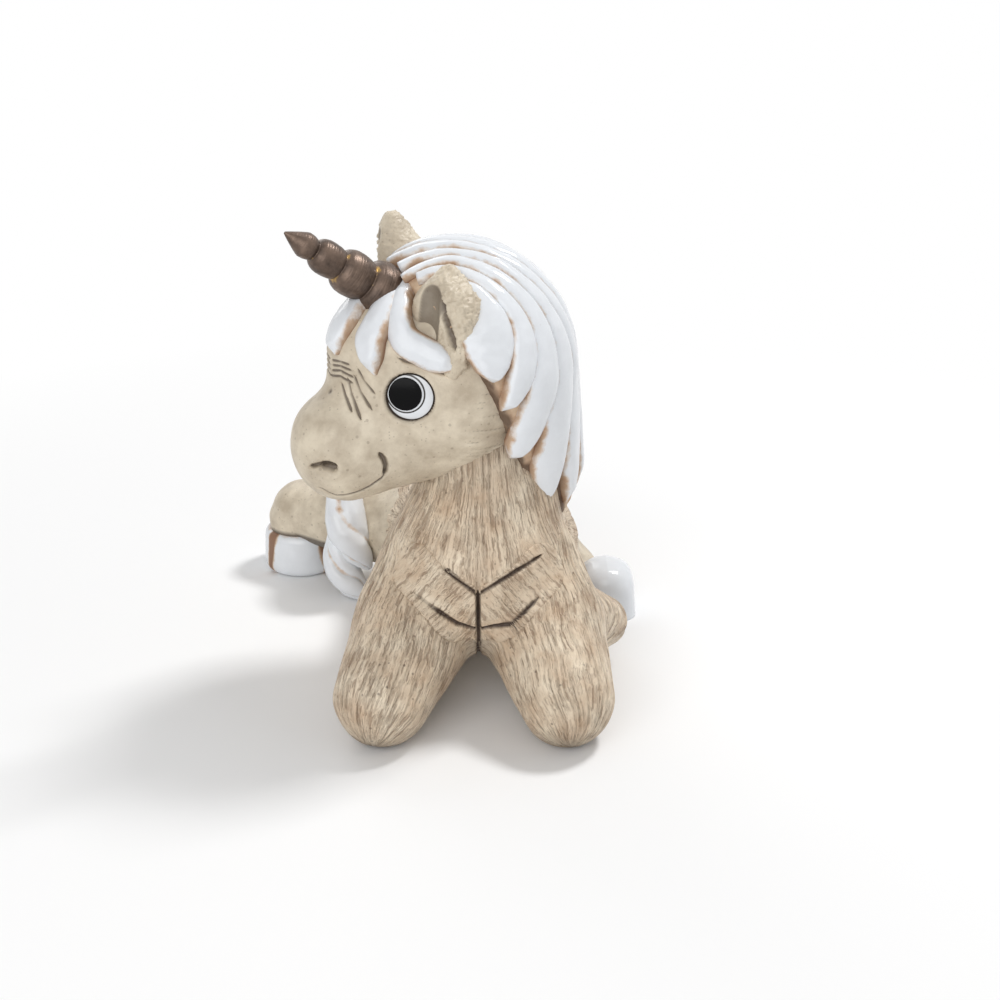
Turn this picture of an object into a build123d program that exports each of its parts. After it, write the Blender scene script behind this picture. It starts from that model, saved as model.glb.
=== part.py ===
"""A resting unicorn figurine, built from hollow castings and luted clay pieces.

Millimetres. +Z is up, the animal faces -Y, and its own left side is +X. The origin lies on the
ground under the trunk. Left and right in the names are the animal's own.
"""
from build123d import *
import math
import os

os.makedirs("parts", exist_ok=True)

# Clay and joints
wall = 3.6
slip_gap = 0.12
vent_radius = 1.8
vent_behind = 12.0
cut_overrun = 90.0

# Trunk: three balls along the back, chest first
chest_radius = 18.0
chest_height = 27.0
chest_ahead = 39.0
belly_radius = 21.0
belly_height = 18.0
belly_ahead = 13.0
rump_radius = 21.5
rump_height = 15.0
rump_behind = 11.0

# Neck: rises from the chest to the throat, a little to the left of the head's centre
neck_root_radius = 18.5
neck_root_rise = 4.0
neck_middle_radius = 13.5
neck_middle_share = 0.55
neck_bow_left = 2.8
throat_radius = 12.5
throat_drop = 10.0
throat_left = 3.5

# Head: turned to the animal's right, forward and down to the muzzle
head_radius = 20.0
head_height = 72.0
head_ahead = 36.0
head_right = 5.0
head_turn = 62.0
muzzle_radius = 10.7
muzzle_reach = 24.2
muzzle_drop = 13.2
bridge_radius = 11.5
bridge_reach = 13.0
bridge_drop = 7.5
jaw_radius = 17.0
jaw_reach = 2.5
jaw_drop = 6.0
chin_radius = 9.3
chin_drop = 2.6
forehead_radius = 12.0
forehead_reach = 14.5
forehead_rise = 3.5
nostril_radius = 1.0
nostril_depth = 2.4
nostril_spread = 34.0
nostril_rise = 6.0
mouth_width = 0.9
mouth_depth = 1.3
mouth_drop = 5.2

# Eyes
eye_radius = 4.35
eye_depth = 2.2
eye_dome = 0.7
eye_turn = 34.3
eye_dip = 7.7
pupil_radius = 3.1
pupil_depth = 1.0
pupil_dome = 0.3
pupil_shift = 0.7

# Horn: four beads on a taper, leaning forward from the forehead
horn_length = 25.0
horn_root_depth = 3.0
horn_seat_lift = 47.0
horn_lean = 35.0
horn_bead_radius = 5.75
horn_tip_radius = 0.4
horn_root_radius_share = 0.9
horn_bead_place_shares = (0.12, 0.38, 0.63, 0.83)
horn_bead_radius_shares = (1.0, 0.765, 0.583, 0.42)
horn_valley_place_shares = (0.253, 0.514, 0.752, 0.9)
horn_valley_radius_shares = (0.69, 0.5, 0.32, 0.33)

# Ears: cupped leaves. Their places are given in the head's own directions: forward, to its left, up
left_ear_radius = 7.2
right_ear_radius = 6.3
ear_root_radius = 4.4
ear_tip_radius = 2.3
ear_wall = 1.8
ear_cup_depth = 1.2
ear_belly_share = 0.5
ear_opening_turn = 25.0
left_ear_root = (8.5, 14.5, 6.5)
left_ear_tip = (7.0, 12.4, 20.4)
right_ear_root = (5.4, -14.2, 12.0)
right_ear_tip = (6.4, -14.4, 26.2)

# Forelegs: shoulder, upper arm and foot, with an elbow behind
shoulder_radius = 13.0
shoulder_spread = 9.0
shoulder_drop = 1.0
upper_arm_radius = 13.0
upper_arm_spread = 13.2
upper_arm_height = 18.0
upper_arm_reach = 8.0
forefoot_radius = 9.8
left_forefoot_spread = 17.8
right_forefoot_spread = 19.4
forefoot_height = 9.2
forefoot_reach = 24.0
elbow_radius = 6.0
elbow_height = 9.6
elbow_set_back = 9.4
left_elbow_spread = 27.0
right_elbow_spread = 22.0
elbow_root_share = 0.88

# Chest folds: two short bands that meet over the gap between the forelegs
fold_radius = 4.3
fold_outer_spread = 11.5
fold_outer_rise = 5.2
fold_outer_out_share = 0.31
fold_inner_spread = 3.8
fold_inner_drop = 1.4
fold_inner_out_share = 0.59

# Haunches and hind legs: the right one lies out to the side, the left one is folded forward
left_haunch_radius = 11.5
left_haunch_spread = 12.0
left_haunch_height = 14.5
right_haunch_radius = 12.5
right_haunch_spread = 13.5
right_haunch_height = 17.0
haunch_behind = 4.0
haunch_end_radius_share = 0.93
haunch_end_behind = 7.0
haunch_end_drop = 4.0
knee_radius = 9.8
knee_share = 0.42
right_ankle_radius = 8.3
right_ankle_spread = 47.0
right_ankle_height = 15.0
right_ankle_behind = 22.3
right_hoof_radius = 9.6
right_hoof_height = 10.8
right_hoof_flare = 2.0
hock_radius = 7.2
hock_spread = 15.5
hock_height = 7.6
hock_behind = 19.0
pastern_radius = 5.6
pastern_spread = 24.0
pastern_height = 5.6
pastern_behind = 4.0
left_hoof_radius = 7.2
left_hoof_spread = 30.0
left_hoof_height = 5.8
left_hoof_ahead = 6.0
left_hoof_length = 5.0

# Mane: a clay bed over crown and nape, with strands laid on it
bed_radius = 23.2
bed_end_radius = 13.0
mane_fall_left = 12.6
mane_fall_back = 6.0
mane_fall_drop = 27.5
bed_face_ahead = 3.0
strand_thickness = 2.7
strand_half_width = 5.0
strand_fill_share = 0.47
strand_flat_share = 0.9
strand_taper_shares = (0.5, 0.85, 1.0, 1.0, 1.0, 0.85, 0.55, 0.16)

# Each side strand passes through places on the bed, each a turn and a share of the mane's run.
# Those of the right side are mirrored, and start further down.
side_strands = (
    ((102, 0.18), (107, 0.27), (102, 0.36), (85, 0.46)),
    ((108, 0.12), (117, 0.25), (112, 0.38), (99, 0.47), (82, 0.54)),
    ((118, 0.075), (128, 0.24), (124, 0.38), (114, 0.51), (96, 0.62), (76, 0.71)),
    ((50, 0.03), (142, 0.10), (139, 0.25), (134, 0.40), (127, 0.56), (114, 0.71), (85, 0.94)),
    ((-80, 0.06), (165, 0.10), (150, 0.25), (145, 0.42), (141, 0.60), (133, 0.76), (108, 1.02)),
    ((-100, 0.105), (-170, 0.135), (163, 0.27), (156, 0.45), (153, 0.65), (149, 0.85), (138, 1.03)),
    ((-112, 0.15), (-160, 0.19), (175, 0.31), (169, 0.48), (167, 0.67), (165, 0.85), (162, 1.00)),
)
right_start_share = 0.235

# Each forelock passes through places in the head's own directions: forward, to its left, up
forelocks = (
    ((10.4, 5.1, 17.6), (14.0, 7.5, 15.0), (15.4, 10.7, 11.6), (14.1, 13.6, 8.4), (8.6, 19.0, 3.0)),
    ((11.0, 1.1, 18.0), (14.5, 4.9, 16.0), (18.0, 7.9, 13.2), (21.2, 9.6, 9.0), (21.7, 10.9, 3.5)),
    ((12.0, -7.0, 17.0), (18.5, -6.5, 14.0), (22.3, -5.5, 10.3), (24.0, -4.0, 6.0)),
    ((10.0, -10.0, 16.0), (13.5, -13.0, 12.0), (13.5, -15.0, 8.4), (9.0, -19.0, 3.0)),
)

# Tail: a root on the rump, and two strands that curl forward over the right hind leg
dock_radius = 5.0
dock_lift = 42.0
dock_length = 5.0
tail_radius = 4.8
tail_radius_shares = (0.65, 0.85, 0.88, 1.0, 0.32)
tail_seat_share = 0.38
tail_hip_turn = 58.0
tail_hip_lift = 40.0
tail_cross_share = 0.56
tail_drop_inward = 6.4
tail_drop_rise = 3.6
tail_tip_height = 9.5
tail_tip_left = 4.0
outer_radius = 4.2
outer_radius_shares = (0.7, 1.0, 0.8, 0.45)

# The outer strand's places: distance along the leg from the drop, and height
outer_strand = ((3.6, 14.5), (2.4, 9.0), (0.0, 4.0), (-3.0, 2.2))


def ahead(x, forward, z):
    """A point given by its place to the left, its distance ahead and its height."""
    return Vector(x, -forward, z)


def limb(stops, grow=0.0, mode=Mode.ADD):
    """Balls along a chain, each pair joined by the cone that touches both."""
    for (start, start_radius), (end, end_radius) in zip(stops, stops[1:]):
        first = start_radius + grow
        last = end_radius + grow
        length = (end - start).length
        along = (end - start).normalized()
        across = Plane(origin=start, z_dir=along).x_dir
        touch = math.acos((first - last) / length)

        def on_first(angle):
            return (first * math.cos(angle), first * math.sin(angle))

        def on_last(angle):
            return (length + last * math.cos(angle), last * math.sin(angle))

        with BuildSketch(Plane(origin=start, x_dir=along, z_dir=across)) as half_outline:
            with BuildLine():
                ThreePointArc(on_first(math.pi), on_first((math.pi + touch) / 2), on_first(touch))
                Line(on_first(touch), on_last(touch))
                ThreePointArc(on_last(touch), on_last(touch / 2), on_last(0))
                Line(on_last(0), on_first(math.pi))
            make_face()
        revolve(half_outline.sketch, axis=Axis(start, along), mode=mode)


def strand(stations):
    """A strand of clay: ellipses set square to a curved run, lofted into one skin."""
    sections = []
    for place, heading, outward, half_width, half_thickness in stations:
        with BuildSketch(Plane(origin=place, x_dir=outward.cross(heading), z_dir=heading)) as section:
            Ellipse(half_width, half_thickness)
        sections.append(section.sketch)
    loft(sections)


def trim_below_ground():
    """Everything stands on one flat plane."""
    with Locations((0, 0, -cut_overrun / 2)):
        Box(4 * cut_overrun, 4 * cut_overrun, cut_overrun, mode=Mode.SUBTRACT)


def keep_side(side, clearance):
    """Cut away what crosses the animal's middle plane."""
    with Locations((side * (clearance - cut_overrun), 0, 0)):
        Box(2 * cut_overrun, 4 * cut_overrun, 4 * cut_overrun, mode=Mode.SUBTRACT)


# Directions of the head: forward, to the animal's left, up
turn = math.radians(head_turn)
face_forward = Vector(-math.sin(turn), -math.cos(turn), 0)
face_left = Vector(math.cos(turn), -math.sin(turn), 0)
up = Vector(0, 0, 1)

chest = ahead(0, chest_ahead, chest_height)
belly = ahead(0, belly_ahead, belly_height)
rump = ahead(0, -rump_behind, rump_height)
head = ahead(-head_right, head_ahead, head_height)


def from_head(forward, left, rise):
    """A point given in the head's own directions, from the middle of the skull."""
    return head + face_forward * forward + face_left * left + up * rise


trunk_stops = [(rump, rump_radius), (belly, belly_radius), (chest, chest_radius)]
neck_root = chest + up * neck_root_rise
throat = head + Vector(throat_left, 0, -throat_drop)
neck_middle = neck_root + (throat - neck_root) * neck_middle_share + Vector(neck_bow_left, 0, 0)
neck_stops = [
    (neck_root, neck_root_radius),
    (neck_middle, neck_middle_radius),
    (throat, throat_radius),
]
muzzle = from_head(muzzle_reach, 0, -muzzle_drop)
forehead = from_head(forehead_reach, 0, forehead_rise)
skull_stops = [
    (from_head(bridge_reach, 0, -bridge_drop), bridge_radius),
    (muzzle, muzzle_radius),
]
jaw_stops = [
    (from_head(jaw_reach, 0, -jaw_drop), jaw_radius),
    (muzzle - up * chin_drop, chin_radius),
]


def body_form(grow, mode=Mode.ADD):
    """Trunk and neck."""
    limb(trunk_stops, grow, mode)
    limb(neck_stops, grow, mode)


def head_form(grow, mode=Mode.ADD):
    """Skull ball, forehead ball, nose bridge with muzzle, and jaw."""
    with Locations(head):
        Sphere(head_radius + grow, mode=mode)
    with Locations(forehead):
        Sphere(forehead_radius + grow, mode=mode)
    limb(skull_stops, grow, mode)
    limb(jaw_stops, grow, mode)


# Clearances: the grown forms that later pieces are cut by
with BuildPart() as body_clearance:
    body_form(slip_gap)

with BuildPart() as head_clearance:
    head_form(slip_gap)

# Eyes: a white disc let into the skull on each side, with a pupil set in it
eye_plane = {}
for side_name, side in (("left", 1), ("right", -1)):
    dip = math.radians(eye_dip)
    aside = math.radians(eye_turn)
    level = face_forward * math.cos(aside) + face_left * (side * math.sin(aside))
    gaze = level * math.cos(dip) - up * math.sin(dip)
    seat_distance = math.sqrt(head_radius**2 - eye_radius**2)
    eye_plane[side_name] = Plane(
        origin=head + gaze * seat_distance, x_dir=gaze.cross(up), z_dir=gaze
    )


def domed_disc(plane, radius, depth, dome, grow=0.0, mode=Mode.ADD):
    """A disc with a gently domed front, its rim on the plane and its back behind it."""
    with BuildSketch(Plane(origin=plane.origin, x_dir=plane.x_dir, z_dir=-plane.y_dir)) as outline:
        with BuildLine():
            rim = radius + grow
            crown = dome + grow
            ball = (rim**2 + crown**2) / (2 * crown)
            lean = math.asin(rim / ball) / 2
            Polyline((0, crown), (0, -depth - grow), (rim, -depth - grow), (rim, 0))
            halfway = (ball * math.sin(lean), crown - ball * (1 - math.cos(lean)))
            ThreePointArc((rim, 0), halfway, (0, crown))
        make_face()
    revolve(outline.sketch, axis=Axis(plane.origin, plane.z_dir), mode=mode)


pupil_plane = {
    side_name: Plane(
        origin=plane.origin + up * pupil_shift + plane.z_dir * eye_dome,
        x_dir=plane.x_dir,
        z_dir=plane.z_dir,
    )
    for side_name, plane in eye_plane.items()
}

# Head casting: hollow, with the neck's bore, eye sockets, nostrils and mouth line
with BuildPart() as head_shell:
    head_form(0)
    head_form(-wall, Mode.SUBTRACT)
    limb(neck_stops, -wall, Mode.SUBTRACT)
    for plane in eye_plane.values():
        with BuildSketch(plane.offset(-eye_depth - slip_gap)):
            Circle(eye_radius + slip_gap)
        extrude(amount=2 * eye_depth + eye_dome, mode=Mode.SUBTRACT)
    for side in (1, -1):
        spread = math.radians(nostril_spread)
        lift = math.radians(nostril_rise)
        level = face_forward * math.cos(spread) + face_left * (side * math.sin(spread))
        outward = level * math.cos(lift) + up * math.sin(lift)
        nostril_plane = Plane(origin=muzzle + outward * (muzzle_radius - nostril_depth), z_dir=outward)
        with BuildSketch(nostril_plane):
            Ellipse(nostril_radius * 2, nostril_radius)
        extrude(amount=2 * nostril_depth, mode=Mode.SUBTRACT)
    mouth_plane = Plane(origin=muzzle - up * mouth_drop, x_dir=face_forward, z_dir=up)
    with BuildSketch(mouth_plane):
        Circle(2 * muzzle_radius)
        Circle(math.sqrt(muzzle_radius**2 - (mouth_drop - chin_drop) ** 2) - mouth_depth, mode=Mode.SUBTRACT)
        with Locations((-2 * muzzle_radius, 0)):
            Rectangle(4 * muzzle_radius, 4 * muzzle_radius, mode=Mode.SUBTRACT)
    extrude(amount=mouth_width, mode=Mode.SUBTRACT)
head_shell.part.label = "head_shell"
export_step(head_shell.part, "parts/head_shell.step")

# Body casting: trunk and neck in one, hollow, flat below, with the vent hole
with BuildPart() as body_hollow:
    limb(trunk_stops, -wall)
    limb(neck_stops, -wall)
    with Locations((0, 0, wall - cut_overrun / 2)):
        Box(4 * cut_overrun, 4 * cut_overrun, cut_overrun, mode=Mode.SUBTRACT)

with BuildPart() as body_shell:
    body_form(0)
    add(head_clearance.part, mode=Mode.SUBTRACT)
    add(body_hollow.part, mode=Mode.SUBTRACT)
    with BuildSketch(Plane(origin=ahead(0, -vent_behind, 0), z_dir=up)):
        Circle(vent_radius)
    extrude(amount=2 * wall, mode=Mode.SUBTRACT)
    trim_below_ground()
body_shell.part.label = "body_shell"
export_step(body_shell.part, "parts/body_shell.step")

for side_name in eye_plane:
    with BuildPart() as eye_white:
        domed_disc(eye_plane[side_name], eye_radius, eye_depth, eye_dome)
        domed_disc(pupil_plane[side_name], pupil_radius, pupil_depth, pupil_dome, slip_gap, Mode.SUBTRACT)
    eye_white.part.label = "eye_white_" + side_name
    export_step(eye_white.part, "parts/eye_white_" + side_name + ".step")

    with BuildPart() as pupil:
        domed_disc(pupil_plane[side_name], pupil_radius, pupil_depth, pupil_dome)
    pupil.part.label = "pupil_" + side_name
    export_step(pupil.part, "parts/pupil_" + side_name + ".step")

# Horn: turned with four beads, seated on the forehead
seat_angle = math.radians(horn_seat_lift)
lean_angle = math.radians(horn_lean)
horn_seat = from_head(head_radius * math.cos(seat_angle), 0, head_radius * math.sin(seat_angle))
horn_along = face_forward * math.cos(lean_angle) + up * math.sin(lean_angle)


def horn_form(grow, mode=Mode.ADD):
    """The beaded taper, turned about its own axis."""
    with BuildSketch(Plane(origin=horn_seat, x_dir=horn_along, z_dir=face_left)) as outline:
        with BuildLine():
            rim = (0, horn_root_radius_share * horn_bead_radius + grow)
            Polyline((horn_length + grow, 0), (-horn_root_depth, 0), (-horn_root_depth, rim[1]), rim)
            for place, bead, end, valley in zip(
                horn_bead_place_shares,
                horn_bead_radius_shares,
                horn_valley_place_shares,
                horn_valley_radius_shares,
            ):
                crest = (place * horn_length, bead * horn_bead_radius + grow)
                dip_point = (end * horn_length, valley * horn_bead_radius + grow)
                ThreePointArc(rim, crest, dip_point)
                rim = dip_point
            Polyline(rim, (horn_length + grow, horn_tip_radius + grow), (horn_length + grow, 0))
        make_face()
    revolve(outline.sketch, axis=Axis(horn_seat, horn_along), mode=mode)


with BuildPart() as horn_clearance:
    horn_form(slip_gap)

with BuildPart() as horn:
    horn_form(0)
    add(head_clearance.part, mode=Mode.SUBTRACT)
horn.part.label = "horn"
export_step(horn.part, "parts/horn.step")

# Ears: pinched leaves, open to the front
ear_clearance = {}
opening = math.radians(ear_opening_turn)
for side_name, side, ear_radius, ear_root, ear_tip in (
    ("left", 1, left_ear_radius, left_ear_root, left_ear_tip),
    ("right", -1, right_ear_radius, right_ear_root, right_ear_tip),
):
    root = from_head(*ear_root)
    tip = from_head(*ear_tip)
    middle = root + (tip - root) * ear_belly_share
    ear_stops = [(root, ear_root_radius), (middle, ear_radius), (tip, ear_tip_radius)]
    facing = face_forward * math.cos(opening) + face_left * (side * math.sin(opening))
    open_face = Plane(origin=middle + facing * ear_cup_depth, z_dir=facing)
    cup_stops = [(place + facing * ear_cup_depth, radius) for place, radius in ear_stops]

    with BuildPart() as clearance_form:
        limb(ear_stops, slip_gap)
        split(bisect_by=open_face.offset(slip_gap), keep=Keep.BOTTOM)
    ear_clearance[side_name] = clearance_form.part

    with BuildPart() as ear:
        limb(ear_stops)
        split(bisect_by=open_face, keep=Keep.BOTTOM)
        limb(cup_stops, -ear_wall, Mode.SUBTRACT)
        add(head_clearance.part, mode=Mode.SUBTRACT)
    ear.part.label = "ear_" + side_name
    export_step(ear.part, "parts/ear_" + side_name + ".step")

# Forelegs: pressed on to the chest, split at the middle where they meet
leg_clearance = {}
upper_leg_stops = {}
for side_name, side, forefoot_spread, elbow_spread in (
    ("left", 1, left_forefoot_spread, left_elbow_spread),
    ("right", -1, right_forefoot_spread, right_elbow_spread),
):
    shoulder = chest + Vector(side * shoulder_spread, 0, -shoulder_drop)
    upper_arm = ahead(side * upper_arm_spread, chest_ahead + upper_arm_reach, upper_arm_height)
    forefoot = ahead(side * forefoot_spread, chest_ahead + forefoot_reach, forefoot_height)
    elbow = ahead(side * elbow_spread, chest_ahead - elbow_set_back, elbow_height)
    leg_stops = [
        (shoulder, shoulder_radius),
        (upper_arm, upper_arm_radius),
        (forefoot, forefoot_radius),
    ]
    upper_leg_stops[side_name] = leg_stops
    elbow_stops = [
        (upper_arm, elbow_root_share * upper_arm_radius),
        (elbow, elbow_radius),
    ]

    with BuildPart() as clearance_form:
        limb(leg_stops, slip_gap)
        limb(elbow_stops, slip_gap)
    leg_clearance[side_name] = clearance_form.part

    with BuildPart() as foreleg:
        limb(leg_stops)
        limb(elbow_stops)
        keep_side(side, slip_gap)
        add(body_clearance.part, mode=Mode.SUBTRACT)
        trim_below_ground()
    foreleg.part.label = "foreleg_" + side_name
    export_step(foreleg.part, "parts/foreleg_" + side_name + ".step")

# Chest folds: bands pressed into the join of body and forelegs
for side_name, side in (("left", 1), ("right", -1)):
    arm_ahead = chest_ahead + upper_arm_reach
    outer_ahead = arm_ahead + upper_arm_radius * fold_outer_out_share
    inner_ahead = arm_ahead + upper_arm_radius * fold_inner_out_share
    fold_outer = ahead(side * fold_outer_spread, outer_ahead, chest_height + fold_outer_rise)
    fold_inner = ahead(side * fold_inner_spread, inner_ahead, chest_height - fold_inner_drop)
    with BuildPart() as chest_fold:
        limb([(fold_outer, fold_radius), (fold_inner, fold_radius)])
        keep_side(side, slip_gap)
        add(body_clearance.part, mode=Mode.SUBTRACT)
        limb(upper_leg_stops[side_name], slip_gap, Mode.SUBTRACT)
    chest_fold.part.label = "chest_fold_" + side_name
    export_step(chest_fold.part, "parts/chest_fold_" + side_name + ".step")

# Haunches: a lump on each side of the rump
haunch_centre = {}
haunch_clearance = {}
for side_name, side, haunch_radius, haunch_spread, haunch_height in (
    ("left", 1, left_haunch_radius, left_haunch_spread, left_haunch_height),
    ("right", -1, right_haunch_radius, right_haunch_spread, right_haunch_height),
):
    haunch_centre[side_name] = ahead(side * haunch_spread, -haunch_behind, haunch_height)
    haunch_end = haunch_centre[side_name] + Vector(0, haunch_end_behind, -haunch_end_drop)
    haunch_stops = [
        (haunch_centre[side_name], haunch_radius),
        (haunch_end, haunch_radius * haunch_end_radius_share),
    ]
    with BuildPart() as clearance_form:
        limb(haunch_stops, slip_gap)
    haunch_clearance[side_name] = clearance_form.part

    with BuildPart() as haunch:
        limb(haunch_stops)
        add(body_clearance.part, mode=Mode.SUBTRACT)
        add(leg_clearance[side_name], mode=Mode.SUBTRACT)
        trim_below_ground()
    haunch.part.label = "haunch_" + side_name
    export_step(haunch.part, "parts/haunch_" + side_name + ".step")

# Hind legs and hooves
right_ankle = ahead(-right_ankle_spread, -right_ankle_behind, right_ankle_height)
right_knee = haunch_centre["right"] + (right_ankle - haunch_centre["right"]) * knee_share
right_leg_stops = [
    (haunch_centre["right"], knee_radius),
    (right_knee, knee_radius),
    (right_ankle, right_ankle_radius),
]
hock = ahead(hock_spread, -hock_behind, hock_height)
pastern = ahead(pastern_spread, -pastern_behind, pastern_height)
hoof_back = ahead(left_hoof_spread, left_hoof_ahead - left_hoof_length, left_hoof_height)
hoof_front = ahead(left_hoof_spread, left_hoof_ahead, left_hoof_height)
left_leg_stops = [
    (haunch_centre["left"], knee_radius),
    (hock, hock_radius),
    (pastern, pastern_radius),
]
left_hoof_stops = [(hoof_back, left_hoof_radius), (hoof_front, left_hoof_radius)]


def right_hoof_form(grow, mode=Mode.ADD):
    """A short drum that widens towards the ground."""
    with BuildSketch(Plane(origin=(right_ankle.X, right_ankle.Y, 0), z_dir=up)) as sole:
        Circle(right_hoof_radius + grow)
    extrude(sole.sketch, amount=right_hoof_height + grow, taper=right_hoof_flare, mode=mode)


with BuildPart() as right_hoof_clearance:
    right_hoof_form(slip_gap)

with BuildPart() as left_hoof_clearance:
    limb(left_hoof_stops, slip_gap)

hoof_clearance = {"left": left_hoof_clearance.part, "right": right_hoof_clearance.part}
hind_stops = {"left": left_leg_stops, "right": right_leg_stops}
hind_clearance = {}
for side_name in ("left", "right"):
    with BuildPart() as clearance_form:
        limb(hind_stops[side_name], slip_gap)
    hind_clearance[side_name] = clearance_form.part

    with BuildPart() as hind_leg:
        limb(hind_stops[side_name])
        add(body_clearance.part, mode=Mode.SUBTRACT)
        add(haunch_clearance[side_name], mode=Mode.SUBTRACT)
        add(hoof_clearance[side_name], mode=Mode.SUBTRACT)
        trim_below_ground()
    hind_leg.part.label = "hind_leg_" + side_name
    export_step(hind_leg.part, "parts/hind_leg_" + side_name + ".step")

with BuildPart() as hoof_right:
    right_hoof_form(0)
hoof_right.part.label = "hoof_right"
export_step(hoof_right.part, "parts/hoof_right.step")

with BuildPart() as hoof_left:
    limb(left_hoof_stops)
    add(leg_clearance["left"], mode=Mode.SUBTRACT)
    add(body_clearance.part, mode=Mode.SUBTRACT)
    add(haunch_clearance["left"], mode=Mode.SUBTRACT)
    trim_below_ground()
hoof_left.part.label = "hoof_left"
export_step(hoof_left.part, "parts/hoof_left.step")

# Mane: directions of its fall from the crown, and the rounded form that the strands follow
mane_fall = Vector(mane_fall_left, mane_fall_back, -mane_fall_drop)
mane_down = mane_fall.normalized()
mane_front = (face_forward - mane_down * face_forward.dot(mane_down)).normalized()
mane_side = mane_front.cross(mane_down)
bed_stops = [(head, bed_radius), (head + mane_fall, bed_end_radius)]
slope = math.acos((bed_radius - bed_end_radius) / mane_fall.length)
ball_run = bed_radius * (math.pi - slope)
mane_run = ball_run + mane_fall.length * math.sin(slope)


def mane_place(turn_degrees, run):
    """A point on the bed and its outward direction, from its turn and its run below the crown."""
    aim = math.radians(turn_degrees)
    aside = mane_front * math.cos(aim) + mane_side * math.sin(aim)
    bend = min(run / bed_radius, math.pi - slope)
    if run > mane_run:
        bend = bend + (run - mane_run) / bed_end_radius
    outward = aside * math.sin(bend) - mane_down * math.cos(bend)
    if run <= ball_run:
        return head + outward * bed_radius, outward
    straight = min(run, mane_run) - ball_run
    along_skin = mane_down * math.sin(slope) - aside * math.cos(slope)
    if run <= mane_run:
        return head + outward * bed_radius + along_skin * straight, outward
    return head + mane_fall + outward * bed_end_radius, outward


def on_bed(point):
    """The nearest place on the bed, and its outward direction."""
    taper = (bed_radius - bed_end_radius) / mane_fall.length
    along = (point - head).dot(mane_down)
    out = (point - head - mane_down * along).length
    foot = max(0, min(mane_fall.length, along - out * taper / math.sqrt(1 - taper**2)))
    middle = head + mane_down * foot
    outward = (point - middle).normalized()
    return middle + outward * (bed_radius - taper * foot), outward


def sampled(places):
    """Points spaced evenly along a smooth curve through the places, one for each section."""
    curve = Spline(*places)
    last = len(strand_taper_shares) - 1
    return [curve @ (step / last) for step in range(last + 1)]


def side_spine(knots, side):
    """Places and outward directions along a strand of the mane, from its start to its tip."""
    places = [mane_place(side * turn, mane_run * share)[0] for turn, share in knots]
    return [on_bed(point) for point in sampled(places)]


def lock_spine(knots):
    """The same for a forelock, which lies on the head."""
    places = [from_head(*knot) for knot in knots]
    return [(point, (point - head).normalized()) for point in sampled(places)]


def strand_stations(spine, neighbours):
    """Sections of a strand, no wider than the room that the others leave."""
    stations = []
    last = len(spine) - 1
    for step, (place, outward) in enumerate(spine):
        before = spine[max(step - 1, 0)][0]
        after = spine[min(step + 1, last)][0]
        heading = after - before
        heading = (heading - outward * heading.dot(outward)).normalized()
        room = [strand_half_width]
        for other in neighbours:
            for near, far in zip(other, other[1:]):
                reach = far[0] - near[0]
                share = max(0, min(1, (place - near[0]).dot(reach) / reach.dot(reach)))
                room.append(strand_fill_share * (place - near[0] - reach * share).length)
        half_width = min(room) * strand_taper_shares[step]
        thickness = min(strand_thickness, strand_flat_share * half_width)
        stations.append((place, heading, outward, half_width, thickness))
    return stations


with BuildPart() as bed_clearance:
    limb(bed_stops, slip_gap)
    bed_face = Plane(origin=head + mane_front * bed_face_ahead, z_dir=mane_front)
    split(bisect_by=bed_face.offset(slip_gap), keep=Keep.BOTTOM)

with BuildPart() as mane_bed:
    limb(bed_stops)
    split(bisect_by=bed_face, keep=Keep.BOTTOM)
    add(head_clearance.part, mode=Mode.SUBTRACT)
    add(body_clearance.part, mode=Mode.SUBTRACT)
    add(horn_clearance.part, mode=Mode.SUBTRACT)
    add(ear_clearance["left"], mode=Mode.SUBTRACT)
    add(ear_clearance["right"], mode=Mode.SUBTRACT)
    add(leg_clearance["left"], mode=Mode.SUBTRACT)
mane_bed.part.label = "mane_bed"
export_step(mane_bed.part, "parts/mane_bed.step")

spines = {}
for number, knots in enumerate(side_strands, 1):
    spines["mane_left_" + str(number)] = side_spine(knots, 1)
    lower_knots = [knot for knot in knots if knot[1] > right_start_share]
    spines["mane_right_" + str(number)] = side_spine(lower_knots, -1)
for number, knots in enumerate(forelocks, 1):
    spines["forelock_" + str(number)] = lock_spine(knots)
seats = [
    bed_clearance.part,
    head_clearance.part,
    body_clearance.part,
    horn_clearance.part,
    ear_clearance["left"],
    ear_clearance["right"],
    leg_clearance["left"],
]


for node_name, spine in spines.items():
    others = [other for other in spines.values() if other is not spine]
    with BuildPart() as mane_strand:
        strand(strand_stations(spine, others))
        for seat in seats:
            add(seat, mode=Mode.SUBTRACT)
    largest = max(mane_strand.part.solids(), key=lambda solid: solid.volume)
    largest.label = node_name
    export_step(largest, "parts/" + node_name + ".step")

# Tail: root on the rump, strands laid forward over the right hind leg
dock_angle = math.radians(dock_lift)
dock_out = Vector(0, math.cos(dock_angle), math.sin(dock_angle))
dock_seat = rump + dock_out * (rump_radius - dock_radius)
dock_end = rump + dock_out * (rump_radius + dock_length - dock_radius)
with BuildPart() as dock_clearance:
    limb([(dock_seat, dock_radius), (dock_end, dock_radius)], slip_gap)

with BuildPart() as tail_dock:
    limb([(dock_seat, dock_radius), (dock_end, dock_radius)])
    add(body_clearance.part, mode=Mode.SUBTRACT)
tail_dock.part.label = "tail_dock"
export_step(tail_dock.part, "parts/tail_dock.step")

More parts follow.
